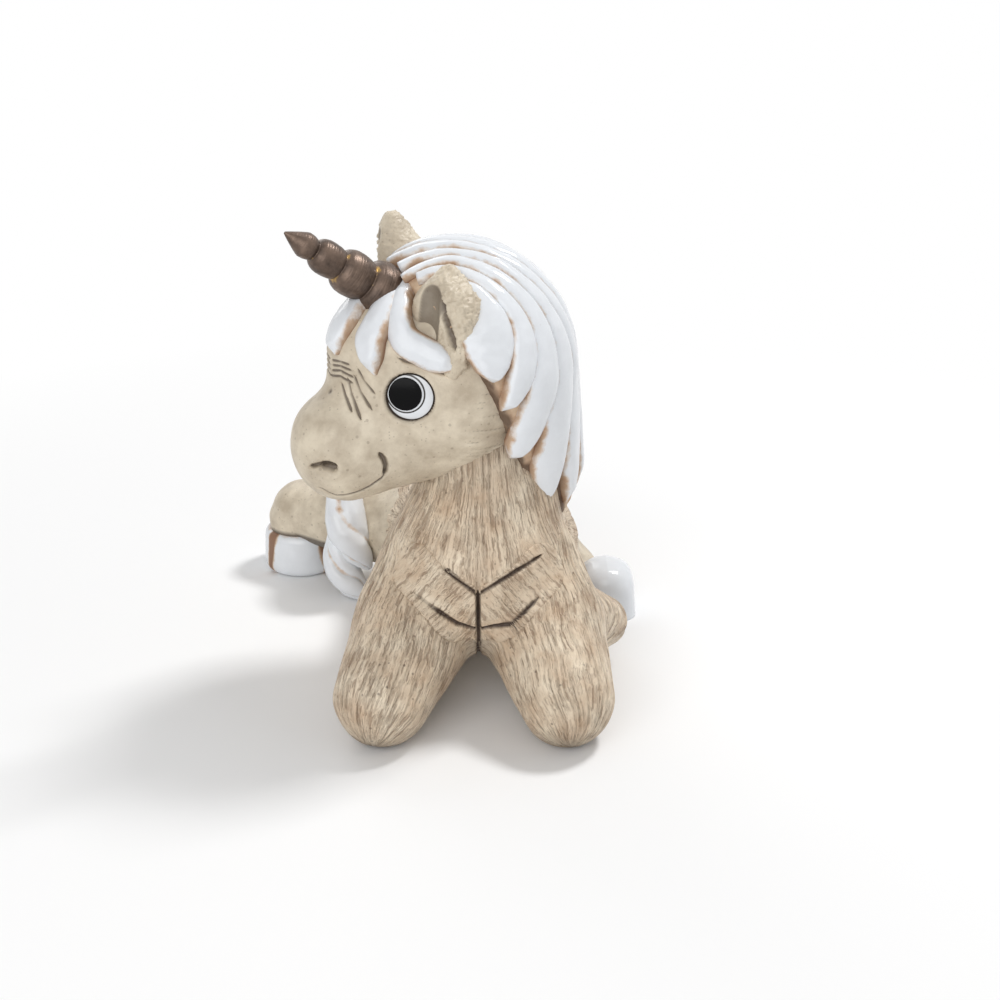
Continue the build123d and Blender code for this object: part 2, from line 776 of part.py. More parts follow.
hip_turn = math.radians(tail_hip_turn)
hip_lift = math.radians(tail_hip_lift)
hip_out = (
    Vector(-math.sin(hip_turn), math.cos(hip_turn), 0) * math.cos(hip_lift)
    + up * math.sin(hip_lift)
)
leg_along = (right_ankle - haunch_centre["right"]).normalized()
leg_front = up.cross(leg_along).normalized()
crossing = haunch_centre["right"] + (right_ankle - haunch_centre["right"]) * tail_cross_share
over_leg = knee_radius + tail_radius * tail_seat_share
tail_drop = crossing + leg_front * over_leg - leg_along * tail_drop_inward + up * tail_drop_rise
tail_places = [
    dock_end,
    rump + hip_out * (rump_radius + tail_radius * tail_seat_share),
    crossing + up * over_leg,
    tail_drop,
    Vector(tail_drop.X + tail_tip_left, tail_drop.Y, tail_tip_height),
]
outer_places = [
    Vector(tail_drop.X, tail_drop.Y, height) + leg_along * shift for shift, height in outer_strand
]
main_stops = [(place, tail_radius * share) for place, share in zip(tail_places, tail_radius_shares)]
outer_stops = [
    (place, outer_radius * share) for place, share in zip(outer_places, outer_radius_shares)
]
with BuildPart() as main_lock_clearance:
    limb(main_stops, slip_gap)

tail_seats = [
    body_clearance.part,
    dock_clearance.part,
    haunch_clearance["right"],
    hind_clearance["right"],
    right_hoof_clearance.part,
]
for node_name, stops, seats_below in (
    ("tail_lock_main", main_stops, tail_seats),
    ("tail_lock_outer", outer_stops, tail_seats + [main_lock_clearance.part]),
):
    with BuildPart() as tail_lock:
        limb(stops)
        for seat in seats_below:
            add(seat, mode=Mode.SUBTRACT)
        trim_below_ground()
    tail_lock.part.label = node_name
    export_step(tail_lock.part, "parts/" + node_name + ".step")
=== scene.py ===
"""A resting unicorn figurine of carved and glazed stoneware, set up for the studio.

Metres in the scene, millimetres in the sizes below. +Z is up, the animal faces -Y, and its own left
side is +X. Left and right in the names are the animal's own.
"""
import bpy
import math
import numpy as np
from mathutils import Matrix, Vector


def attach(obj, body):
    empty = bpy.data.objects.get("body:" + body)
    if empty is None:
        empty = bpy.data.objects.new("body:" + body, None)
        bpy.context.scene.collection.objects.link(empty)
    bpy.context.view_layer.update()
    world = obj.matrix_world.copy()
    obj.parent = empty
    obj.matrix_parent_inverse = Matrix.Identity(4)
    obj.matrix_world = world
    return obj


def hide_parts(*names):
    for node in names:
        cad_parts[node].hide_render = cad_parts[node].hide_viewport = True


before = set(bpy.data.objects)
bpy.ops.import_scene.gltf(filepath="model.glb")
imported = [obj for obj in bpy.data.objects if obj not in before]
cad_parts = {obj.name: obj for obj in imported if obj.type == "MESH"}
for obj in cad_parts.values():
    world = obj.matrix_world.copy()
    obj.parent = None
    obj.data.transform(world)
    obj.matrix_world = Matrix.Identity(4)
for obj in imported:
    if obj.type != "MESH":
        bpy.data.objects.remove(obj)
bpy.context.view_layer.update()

# Trunk and neck
# One hollow casting of flecked stoneware, flat below. Its coat is cut into the soft clay with a wire
# comb. Brown stain is then rubbed into the cuts and wiped off the skin.
millimetre = 0.001
up = np.array([0.0, 0.0, 1.0])


def ball(left, ahead, height, radius):
    """A ball of clay as x, y, z and radius."""
    return np.array([left, -ahead, height, radius], float)


rump = ball(0, -11, 15, 21.5)
belly = ball(0, 13, 18, 21)
chest = ball(0, 39, 27, 18)
neck_root = ball(0, 39, 31, 18.5)
neck_middle = ball(2, 37.3, 48, 13.5)
throat = ball(-1.5, 36, 62, 12.5)
body_path = ((0, 20, 4), (0, 17, 22), (0, -8, 17), (0, -46, 14), (3, -42, 44), (-1, -36.5, 60))
neck_fillet = 4.0
coat_lane = 0.6
coat_stroke = 3.6
clump_lane = 2.1
clump_length = 8.0
clump_depth = 0.24
skin_steps = 26


def limb(points, *balls):
    """Distance to the skin of a ball that slides along a chain while its radius changes.

    The nearest place on each run is the foot of the point, moved back by the run's taper.
    """
    nearest = np.full(points.shape[:-1], np.inf)
    for start, end in zip(balls, balls[1:]):
        length = np.linalg.norm(end[:3] - start[:3])
        taper = (start[3] - end[3]) / length
        offset = points - start[:3]
        along = offset @ ((end[:3] - start[:3]) / length)
        out = np.sqrt(np.maximum((offset**2).sum(-1) - along**2, 0))
        foot = np.clip(along - out * taper / math.sqrt(1 - taper**2), 0, length)
        nearest = np.minimum(nearest, np.hypot(out, along - foot) - start[3] + taper * foot)
    return nearest


def luted(first, second, fillet):
    """Two clay forms with the slip between them smoothed: the lesser distance, rounded off."""
    near = np.maximum(fillet - np.abs(first - second), 0) / fillet
    return np.minimum(first, second) - near**2 * fillet / 4


def cut(first, second, edge):
    """What the first form keeps inside the second, with the edge rounded off."""
    return -luted(-first, -second, edge)


def unit(vectors):
    """The vectors at a length of 1: each divided by the root of its sum of squares."""
    return vectors / np.maximum(np.linalg.norm(vectors, axis=-1, keepdims=True), 1e-9)


def bezier(controls, share):
    """A smooth curve: the sum of the control points, each weighed by its Bernstein polynomial."""
    last = len(controls) - 1
    weights = [math.comb(last, k) * share**k * (1 - share) ** (last - k) for k in range(last + 1)]
    return np.stack(weights, -1) @ np.asarray(controls, float)


def skin(field, path, side, rows, columns, dome_share=0.2):
    """The surface of a form, as rows of points round a path, and its outward directions.

    A ray leaves the path at each row and column, square to it along its length and in a half ball at
    both ends. It steps by the distance that the field gives until it stands on the skin. The outward
    direction there is the slope of the field, from its difference over a small step on each axis.
    """
    row = np.linspace(-dome_share, 1 + dome_share, rows)
    share = np.clip(row, 0, 1)
    origin = bezier(path, share)
    step = 0.001
    tangent = unit(bezier(path, np.minimum(share + step, 1)) - bezier(path, np.maximum(share - step, 0)))
    lean = (row - share) / dome_share * math.pi / 2
    across = unit(side - tangent * (tangent @ side)[:, None])
    third = np.cross(tangent, across)
    turn = np.arange(columns) * 2 * math.pi / columns
    ring = across[:, None] * np.cos(turn)[:, None] + third[:, None] * np.sin(turn)[:, None]
    ray = ring * np.cos(lean)[:, None, None] + tangent[:, None] * np.sin(lean)[:, None, None]
    reach = np.zeros(ray.shape[:2])
    for _ in range(skin_steps):
        reach = np.maximum(reach - field(origin[:, None] + ray * reach[..., None]), 0)
    points = origin[:, None] + ray * reach[..., None]
    small = 0.05
    slopes = [field(points + small * axis) - field(points - small * axis) for axis in np.eye(3)]
    return points, unit(np.stack(slopes, -1))


def knots(lane, along, seed, lanes=256):
    """A number from 0 to 1 that runs along each lane through its own random knots, and between two of
    them is their mean, weighed by the smooth step of the share of the way."""
    table = np.random.default_rng(seed).random((lanes, 64))
    whole = np.floor(along).astype(int)
    part = along - whole
    part = part * part * (3 - 2 * part)
    return table[lane % lanes, whole % 64] * (1 - part) + table[lane % lanes, (whole + 1) % 64] * part


def clumps(across, along, seed, lanes):
    """How deep the comb has cut, from 0 to 1. Each lane holds a line of strokes that wanders a
    little from its middle, and each stroke is deepest halfway."""
    lane = np.floor(across).astype(int)
    depth = np.clip(2.4 * knots(lane, along, seed, lanes) - 0.8, 0, 1)
    wander = 0.5 * knots(lane, along * 0.6, seed + 1, lanes) - 0.25
    return depth * np.clip(1 - np.abs(across - lane - 0.5 - wander) / 0.4, 0, 1)


def lumps(points, size, seed):
    """Smooth random swelling from -1 to 1: the random numbers at the eight corners of a cube, each
    weighed by the smooth step of the share of the way to it on each axis."""
    table = np.random.default_rng(seed).random((24, 24, 24)) * 2 - 1
    whole = np.floor(points / size).astype(int)
    part = points / size - whole
    part = part * part * (3 - 2 * part)
    total = 0
    for corner in np.ndindex(2, 2, 2):
        weight = np.prod(np.where(corner, part, 1 - part), -1)
        total = total + weight * table[tuple(np.moveaxis((whole + corner) % 24, -1, 0))]
    return total


def piece(name, grid, material, slot, nodes, **masks):
    """A closed mesh from rows of points, whose first and last rows are poles, with its named masks."""
    rows, columns = grid.shape[:2]
    grid = grid.copy()
    grid[..., 2] = np.maximum(grid[..., 2], 0)

    def flat(values):
        return np.concatenate([values[0, :1], values[1:-1].reshape(-1, *values.shape[2:]), values[-1, :1]])

    index = 1 + np.arange((rows - 2) * columns).reshape(rows - 2, columns)
    beside = np.roll(index, -1, axis=1)
    quads = np.stack([index[:-1], beside[:-1], beside[1:], index[1:]], -1).reshape(-1, 4)
    last = np.full(columns, (rows - 2) * columns + 1)
    start_fan = np.stack([last * 0, beside[0], index[0]], -1)
    end_fan = np.stack([last, index[-1], beside[-1]], -1)
    points = flat(grid)
    corners = points[quads]
    volume = (corners[:, 0] * np.cross(corners[:, 1] - corners[:, 0], corners[:, 2] - corners[:, 0])).sum()
    faces = quads.tolist() + start_fan.tolist() + end_fan.tolist()
    if volume < 0:
        faces = [face[::-1] for face in faces]
    mesh = bpy.data.meshes.new(name)
    mesh.from_pydata((points * millimetre).tolist(), [], faces)
    mesh.polygons.foreach_set("use_smooth", np.ones(len(faces), bool))
    for mask, values in masks.items():
        if np.ndim(values) == 3:
            layer = mesh.attributes.new(mask, "FLOAT_VECTOR", "POINT")
            layer.data.foreach_set("vector", flat(values).astype(np.float32).ravel())
        else:
            layer = mesh.attributes.new(mask, "FLOAT", "POINT")
            layer.data.foreach_set("value", flat(np.broadcast_to(values, (rows, columns))).astype(np.float32))
    made = bpy.data.objects.new(name, mesh)
    bpy.context.scene.collection.objects.link(made)
    mesh.materials.append(material)
    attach(made, "root")
    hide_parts(*nodes)
    return made


def colour(red, green, blue):
    """A colour as it is seen on a screen, from 0 to 255, turned into the shader's linear values."""
    seen = np.array([red, green, blue]) / 255
    return (*np.where(seen > 0.04045, ((seen + 0.055) / 1.055) ** 2.4, seen / 12.92), 1.0)


def put(tree, socket, value):
    """Gives a socket its value: a number, a colour, or another node's output, which is linked."""
    if isinstance(value, bpy.types.NodeSocket):
        tree.links.new(value, socket)
    else:
        socket.default_value = value


def add(tree, kind, inputs=(), **settings):
    """A new node with its settings, and its inputs by name or number."""
    node = tree.nodes.new(kind)
    for name, value in settings.items():
        setattr(node, name, value)
    for name, value in dict(inputs).items():
        put(tree, node.inputs[name], value)
    return node


def worked(tree, operation, *values, held=False):
    """The result of one sum on its values, held between 0 and 1 if asked."""
    inputs = dict(enumerate(values))
    return add(tree, "ShaderNodeMath", inputs, operation=operation, use_clamp=held).outputs[0]


def span(tree, value, low, high, to_low=0.0, to_high=1.0):
    """A value's range stretched on to another range, and held inside it."""
    inputs = dict(enumerate((value, low, high, to_low, to_high)))
    return add(tree, "ShaderNodeMapRange", inputs).outputs[0]


def blend(tree, amount, first, second):
    """One colour laid over another by an amount."""
    node = add(tree, "ShaderNodeMix", data_type="RGBA")
    for number, value in ((0, amount), (6, first), (7, second)):
        put(tree, node.inputs[number], value)
    return node.outputs[2]


def noise(tree, place, scale, detail, roughness=0.5):
    """Soft random clouds over a place."""
    inputs = {"Vector": place, "Scale": scale, "Detail": detail, "Roughness": roughness}
    return add(tree, "ShaderNodeTexNoise", inputs)


def own_place(tree):
    """The place on the object, in metres."""
    return add(tree, "ShaderNodeTexCoord").outputs["Object"]


def marked(tree, name):
    """The mask of that name that the piece's mesh holds."""
    return add(tree, "ShaderNodeAttribute", attribute_name=name).outputs["Fac"]


def new_group(name, inputs, outputs):
    """An empty shader node group with named inputs (name: value) and named outputs, all numbers."""
    group = bpy.data.node_groups.new(name, "ShaderNodeTree")
    for socket, value in inputs.items():
        made = group.interface.new_socket(socket, in_out="INPUT", socket_type="NodeSocketFloat")
        made.default_value = value
    for socket in outputs:
        group.interface.new_socket(socket, in_out="OUTPUT", socket_type="NodeSocketFloat")
    return group, group.nodes.new("NodeGroupInput").outputs, group.nodes.new("NodeGroupOutput").inputs


def flecks_group():
    """Iron flecks: small round spots in a share of the cells of a cell pattern."""
    group, given, result = new_group("iron_flecks", {"Scale": 700.0, "Size": 0.2, "Share": 0.2}, ["Mask"])
    cells = add(group, "ShaderNodeTexVoronoi", {"Vector": own_place(group), "Scale": given["Scale"]})
    spot = worked(group, "SUBTRACT", given["Size"], cells.outputs["Distance"])
    soft = worked(group, "MULTIPLY", spot, 12.0, held=True)
    chosen = add(group, "ShaderNodeSeparateColor", {0: cells.outputs["Color"]}).outputs[0]
    few = worked(group, "LESS_THAN", chosen, given["Share"])
    put(group, result["Mask"], worked(group, "MULTIPLY", soft, few))
    return group


def grain_group():
    """Clay grain: coarse and fine noise together, as a height and as soft clouds of colour."""
    group, given, result = new_group("clay_grain", {"Grain": 2200.0, "Cloud": 160.0}, ["Height", "Cloud"])
    place = own_place(group)
    put(group, result["Height"], noise(group, place, given["Grain"], 4.0).outputs[0])
    put(group, result["Cloud"], noise(group, place, given["Cloud"], 5.0, 0.6).outputs[0])
    return group


flecks = flecks_group()
grain = grain_group()


def use(tree, group, **inputs):
    """A copy of a node group in a material, with its values set, as its outputs."""
    return add(tree, "ShaderNodeGroup", inputs, node_tree=group).outputs


def new_material(name):
    """A material with its tree of nodes and its own shader."""
    material = bpy.data.materials.new(name)
    material.use_nodes = True
    tree = material.node_tree
    return material, tree, tree.nodes["Principled BSDF"]


def fire(tree, shader, shown, rough, height, strength, depth):
    """Gives the shader its colour, its roughness, and a height in metres that the light feels."""
    bump = add(tree, "ShaderNodeBump", {"Strength": strength, "Distance": depth, "Height": height})
    put(tree, shader.inputs["Base Color"], shown)
    put(tree, shader.inputs["Roughness"], rough)
    put(tree, shader.inputs["Normal"], bump.outputs[0])


def comb_marks(tree):
    """Hair combed into clay: two noises on the stretched place named comb, as dark cuts and a height."""
    comb = add(tree, "ShaderNodeAttribute", attribute_name="comb").outputs["Vector"]
    place = own_place(tree)
    wander = noise(tree, place, 500.0, 2.0).outputs["Color"]
    bent = add(tree, "ShaderNodeVectorMath", {0: wander, "Scale": 1.6}, operation="SCALE").outputs[0]
    moved = add(tree, "ShaderNodeVectorMath", {0: comb, 1: bent}, operation="ADD").outputs[0]
    coarse = noise(tree, moved, 0.8, 2.0, 0.55).outputs[0]
    thin = noise(tree, moved, 1.7, 2.0, 0.6).outputs[0]
    sparse = noise(tree, place, 140.0, 2.0).outputs[0]
    edge = span(tree, sparse, 0.35, 0.65, 0.42, 0.52)
    low = worked(tree, "SUBTRACT", edge, 0.13)
    hairs = worked(tree, "MULTIPLY", span(tree, thin, edge, low), 0.5)
    cuts = worked(tree, "MAXIMUM", span(tree, coarse, edge, low), hairs)
    return cuts, worked(tree, "SUBTRACT", worked(tree, "ADD", coarse, thin), cuts)


coat_clay, coat_clay_deep = colour(233, 217, 193), colour(200, 174, 146)
comb_stain = colour(114, 85, 62)
# Brown of the rubbed-in stain, also laid on as painted shade under the jaw and between the forelegs
wash_stain = colour(76, 56, 41)
knife_stain = colour(64, 47, 34)
coat_iron = colour(74, 54, 40)


def combed_clay():
    """Flecked stoneware with combed hair. Thin brown stain lies in the cuts. The piece's mask of stain and
    painted shade darkens it further, and thick stain lies where line, in half widths of a needle line, is
    small."""
    material, tree, shader = new_material("combed_clay")
    texture = use(tree, grain)
    cuts, height = comb_marks(tree)
    body = blend(tree, span(tree, texture["Cloud"], 0.36, 0.7), coat_clay, coat_clay_deep)
    darkened = blend(tree, span(tree, cuts, 0, 1, 0, 0.58), body, comb_stain)
    # The stain brown laid by the piece's mask: rubbed-in stain, and painted shade
    rubbed = blend(tree, marked(tree, "wash"), darkened, wash_stain)
    drawn = blend(tree, span(tree, marked(tree, "line"), 1.4, 0.6), rubbed, knife_stain)
    spots = use(tree, flecks, Scale=620.0, Size=0.2, Share=0.12)["Mask"]
    shown = blend(tree, span(tree, spots, 0, 1, 0, 0.55), drawn, coat_iron)
    relief = worked(tree, "MULTIPLY_ADD", texture["Height"], 0.25, height)
    fire(tree, shader, shown, span(tree, height, 0.4, 1.2, 0.62, 0.42), relief, 0.8, 0.00028)
    return material


coat = combed_clay()


def trunk(points):
    """Trunk and neck, each a chain of balls, run into each other."""
    neck = limb(points, neck_root, neck_middle, throat)
    return luted(limb(points, rump, belly, chest), neck, neck_fillet)


def combed(grid, outward, seed):
    """Hair combed along the rows of a surface: the surface with clumps of hair pressed in, the place
    for the comb marks, which is a cylinder as wide as the surface in lanes, and the stain in the clumps."""
    rows, columns = grid.shape[:2]
    run = np.cumsum(np.linalg.norm(np.diff(grid, axis=0, prepend=grid[:1]), axis=-1).mean(1))[:, None]
    girth = np.linalg.norm(np.diff(grid, axis=1, append=grid[:, :1]), axis=-1).sum(1).max()
    turn = np.arange(columns) / columns + 1.6 / girth * lumps(grid, 9.0, seed + 5)
    angle = 2 * math.pi * turn
    around = girth / coat_lane / (2 * math.pi)
    comb = np.stack([around * np.cos(angle), around * np.sin(angle), run / coat_stroke + 0 * turn], -1)
    lanes = round(girth / clump_lane)
    cuts = clumps(turn * lanes, run / clump_length + 0 * turn, seed, lanes)
    height = 0.22 * lumps(grid, 5.0, seed + 4) - clump_depth * cuts
    return grid + outward * height[..., None], comb, 0.3 * cuts


def needled(points, places, width):
    """How far the points are from a needle line through the places, as a share of its half width,
    which gets less towards both ends. Below 1 is inside the line."""
    places = np.asarray(places, float)
    run = np.concatenate([[0], np.cumsum(np.linalg.norm(np.diff(places, axis=0), axis=-1))])
    nearest = np.full(points.shape[:-1], 9.0)
    for k in range(len(places) - 1):
        step = places[k + 1] - places[k]
        share = np.clip((points - places[k]) @ step / (step @ step), 0, 1)
        along = (run[k] + share * (run[k + 1] - run[k])) / run[-1]
        here = width * np.clip(6 * np.minimum(along, 1 - along) + 0.3, 0, 1)
        away = np.linalg.norm(points - places[k] - step * share[..., None], axis=-1)
        nearest = np.minimum(nearest, away / here)
    return nearest


def groove(line):
    """The depth of a needle line, from 1 inside it to 0 beside it."""
    return np.clip(1.5 - line, 0, 1)


# The two chest folds are bands over this piece and the forelegs, which all share their drawn outlines:
# above and below, first to the animal's left, then to its right
fold_outlines = (
    ((-0.5, -58.1, 29.8), (0.2, -58.1, 30.1), (4.4, -57.4, 32.6), (8.0, -55.8, 34.3), (13.0, -51.8, 35.9)),
    ((-0.6, -56.7, 21.5), (0.6, -56.7, 21.6), (4.0, -56.9, 22.3), (6.8, -57.7, 23.2), (9.4, -57.1, 25.8),
     (12.3, -55.5, 28.2)),
    ((0.5, -58.1, 29.8), (-0.2, -58.1, 30.1), (-3.4, -57.6, 32.5), (-7.0, -56.0, 35.1)),
    ((0.6, -56.7, 21.5), (-0.6, -56.7, 21.6), (-4.1, -56.9, 22.8), (-7.7, -57.0, 25.5), (-13.2, -54.7, 28.9)),
)
fold_stops = {
    side: (ball(side * 11.5, 51.0, 32.0, 6.2), ball(side * 4.0, 54.7, 25.8, 7.4)) for side in (1, -1)
}
fold_line = 0.48
fold_seat = 0.6
crease_line = 0.42
crease_back, crease_foot, crease_top = -40, 8, 29.5


def under_folds(points):
    """1 under the two folds and 0 beside them: how deep a place lies in the nearer one, in half mm."""
    return np.clip(-np.minimum(limb(points, *fold_stops[1]), limb(points, *fold_stops[-1])) / 0.5, 0, 1)


def fold_lines(points):
    """The distance from the folds' outlines and from the crease between the forelegs."""
    lines = [needled(points, line, fold_line) for line in fold_outlines]
    beyond = np.maximum(points[..., 1] - crease_back, crease_foot - points[..., 2]).clip(0)
    above = 2 * np.clip(points[..., 2] - crease_top, 0, 9)
    return np.min([np.abs(points[..., 0]) / crease_line + beyond + above, *lines], axis=0)


def seated(grid, outward):
    """The surface with the needle lines cut in and the beds of the folds pressed down, and the lines."""
    line = fold_lines(grid)
    return grid - fold_seat * outward * (groove(line) + under_folds(grid))[..., None], line


grid, outward = skin(trunk, body_path, np.array([1.0, 0, 0]), 250, 390)
grid, comb, wash = combed(grid, outward, 1)
grid, line = seated(grid, outward)
# Painted shade: a band round the front of the throat, under the jaw, darkened with the stain brown
neck_shade = 0.35 * np.clip(1 - np.abs(grid[..., 2] - 60) / 14, 0, 1) * (grid[..., 1] < -20)
piece("trunk_and_neck", grid, coat, "washed_clay", ["body_shell"],
      wash=wash + neck_shade, comb=comb, line=line)

# Head
# A hollow casting of skull, forehead, nose bridge and jaw, turned to the animal's right. It is sponged
# smooth, then nostrils, mouth, brows and the wrinkles of the nose are drawn in with a needle.
head_turn = math.radians(62)
face_forward = np.array([-math.sin(head_turn), -math.cos(head_turn), 0])
face_left = np.array([math.cos(head_turn), -math.sin(head_turn), 0])
skull = ball(-5, 36, 72, 20)


def from_head(forward, left, rise, radius=None):
    """A point, or a ball, in the head's own directions, from the middle of the skull."""
    place = skull[:3] + face_forward * forward + face_left * left + up * rise
    return place if radius is None else np.append(place, radius)


forehead = from_head(14.5, 0, 3.5, 12)
bridge = from_head(13, 0, -7.5, 11.5)
muzzle = from_head(24.2, 0, -13.2, 10.7)
jaw = from_head(2.5, 0, -6, 17)
chin = from_head(24.2, 0, -15.8, 9.3)
head_fillet = 5.0
snout_fillet = 3.0
eye_places = {side: from_head(16.1, side * 13.7, -1.7) for side in (1, -1)}
eye_radius = 4.5
eye_rim = 0.45

# Needle lines of one side: half width and depth in mm, then places forward, to the left and up
needle_lines = (
    (0.34, 0.4, ((17.6, 12.0, 6.0), (16.2, 13.0, 5.3), (13.9, 14.3, 4.9), (11.5, 16.1, 3.6),
                 (8.4, 18.0, 2.5))),
    (0.48, 1.0, ((21.9, 11.4, -12.4), (20.9, 11.7, -14.1), (20.4, 11.4, -15.6), (20.4, 10.6, -17.8))),
    (0.32, 0.4, ((20.3, 10.9, -17.0), (21.0, 10.2, -18.5), (23.1, 9.2, -20.2), (26.4, 7.8, -21.5),
                 (29.0, 6.0, -22.0), (31.4, 5.0, -20.3), (33.2, 1.5, -19.2), (33.6, 0.0, -19.0))),
    (0.27, 0.35, ((26.5, 0.2, 3.8), (26.2, 3.4, 4.2), (25.0, 5.8, 4.0))),
    (0.27, 0.4, ((26.6, 0.2, 2.8), (26.2, 3.4, 3.3), (24.6, 6.4, 2.9))),
    (0.27, 0.4, ((26.6, 0.1, 1.7), (26.2, 3.4, 2.4), (24.4, 6.8, 1.6))),
    (0.27, 0.35, ((26.7, -0.6, 0.5), (26.2, 3.4, 1.3), (24.6, 6.9, 0.4))),
    (0.32, 0.45, ((25.4, 5.2, 1.6), (25.2, 6.4, -1.6), (24.4, 9.2, -6.1))),
    (0.3, 0.4, ((26.1, 3.7, 0.2), (26.0, 5.2, -2.0), (25.6, 7.6, -4.8))),
    (0.3, 0.4, ((24.6, 6.6, 2.3), (23.9, 7.9, -1.0), (22.3, 9.8, -4.3))),
    (0.27, 0.35, ((24.1, 7.3, 3.7), (23.3, 8.5, 1.2), (21.6, 9.9, -1.3))),
)
nostril_lines = (
    (0.45, 0.9, ((33.8, 4.7, -15.6), (32.6, 6.7, -14.6), (31.2, 8.3, -14.3), (29.7, 9.3, -14.7))),
    (0.85, 1.2, ((32.4, 7.1, -14.9), (31.3, 8.2, -14.8), (29.9, 9.1, -15.3))),
)
nostril_middle = (31.2, 8.2, -14.8)
nose_dimple = (27.5, 1.3, -2.1)


def head(points):
    """Skull, forehead, bridge with muzzle, and jaw, run into each other."""
    brow = limb(points, forehead, from_head(14, 0, 3, 12))
    crown = luted(limb(points, skull, from_head(-0.5, 0, 0, 20)), brow, head_fillet)
    snout = luted(limb(points, bridge, muzzle), limb(points, jaw, chin), snout_fillet)
    return luted(crown, snout, head_fillet)


def at_head(places, side):
    """Places in the head's own directions as points, mirrored for side -1."""
    return [from_head(forward, side * left, rise) for forward, left, rise in places]


head_path = [from_head(-3, 0, 1), from_head(8, 0, -4), from_head(24, 0, -13.5)]
grid, outward = skin(head, head_path, up, 320, 300)
wash = np.zeros(grid.shape[:2])
line = np.full(grid.shape[:2], 9.0)
height = 0.12 * lumps(grid, 4.0, 11)
for side in (1, -1):
    for width, depth, places in (*needle_lines, *nostril_lines):
        drawn = needled(grid, at_head(places, side), width)
        line = np.minimum(line, drawn)
        height = height - depth * groove(drawn)
    away = np.linalg.norm(grid - at_head([nostril_middle], side)[0], axis=-1)
    height = height + 0.4 * np.clip(1 - np.abs(away - 2.6) / 1.4, 0, 1)
    away = np.linalg.norm(grid - eye_places[side], axis=-1)
    socket = np.clip((eye_radius + eye_rim - away) / 0.25, 0, 1)
    lid = np.clip(1 - np.abs(away - eye_radius - eye_rim - 0.5) / 0.6, 0, 1)
    height = height - 1.0 * socket + 0.18 * lid
    wash = np.maximum(wash, socket)
dimple = np.clip(1 - np.linalg.norm(grid - from_head(*nose_dimple), axis=-1) / 1.1, 0, 1)
height = height - 0.3 * dimple
wash = np.maximum(wash, 0.8 * dimple)
forward = (grid - skull[:3]) @ face_forward
rise = grid[..., 2] - skull[2]
cheek = np.clip((7.0 - forward - 0.12 * rise) / 4, 0, 1)
lines = cheek * clumps(np.arctan2((grid - skull[:3]) @ face_left, rise) * skull[3], forward / 5, 12, 256)
height = height - 0.25 * lines
wash = np.maximum(wash, 0.55 * lines)
grid = grid + outward * height[..., None]


face_clay, face_film = colour(216, 204, 183), colour(182, 168, 147)
# Dark brown of the eye rims and of stain, also laid on as painted shade in the hollows of the ears
face_stain_and_shade = colour(58, 44, 34)
needle_stain = colour(66, 50, 38)
face_iron = colour(96, 78, 62)


def sponged_clay():
    """Smooth stoneware under a greyish film of stain, with iron flecks, dark where its mask of stain and
    painted shade is, and where line, in half widths of a needle line, is small."""
    material, tree, shader = new_material("sponged_clay")
    texture = use(tree, grain, Grain=1800.0, Cloud=210.0)
    body = blend(tree, span(tree, texture["Cloud"], 0.34, 0.68), face_clay, face_film)
    darkened = blend(tree, span(tree, marked(tree, "wash"), 0.25, 0.8), body, face_stain_and_shade)
    drawn = blend(tree, span(tree, marked(tree, "line"), 1.3, 0.6, 0, 0.8), darkened, needle_stain)
    spots = use(tree, flecks, Scale=560.0, Size=0.21, Share=0.3)["Mask"]
    small = use(tree, flecks, Scale=1300.0, Size=0.24, Share=0.22)["Mask"]
    both = worked(tree, "MAXIMUM", spots, small)
    shown = blend(tree, span(tree, both, 0, 1, 0, 0.32), drawn, face_iron)
    rough = span(tree, texture["Height"], 0.3, 0.7, 0.42, 0.58)
    fire(tree, shader, shown, rough, texture["Height"], 0.6, 0.00012)
    return material


face = sponged_clay()
piece("smooth_head", grid, face, "washed_clay", ["head_shell"], wash=wash, line=line)

# Eyes
# A disc of white glazed clay is let into each side of the skull, a black one is set into it, and a
# fine dark line is drawn round both.
pupil_radius = 3.2
pupil_ring = 0.2
eye_sunk = 0.75
eye_swell = 0.85
pupil_rise = 0.86
pupil_swell = 0.35
eye_depth = 0.9
pupil_depth = 1.0
clay_under_glaze, clay_under_glaze_deep = colour(226, 208, 184), colour(184, 152, 124)
clay_at_edge = colour(132, 98, 74)
pin_hole = colour(130, 116, 102)
eye_line = colour(44, 38, 34)


def turned(profile, centre, axis, columns):
    """A closed turned form: at each place of the profile, a ring about the axis as wide as the profile
    says, and as far along the axis."""
    axis = unit(np.asarray(axis, float))
    across = unit(np.cross(axis, up))
    third = np.cross(axis, across)
    turn = np.arange(columns) * 2 * math.pi / columns
    ring = across * np.cos(turn)[:, None] + third * np.sin(turn)[:, None]
    along, out = np.asarray(profile, float).T
    return centre + axis * along[:, None, None] + ring * out[:, None, None]


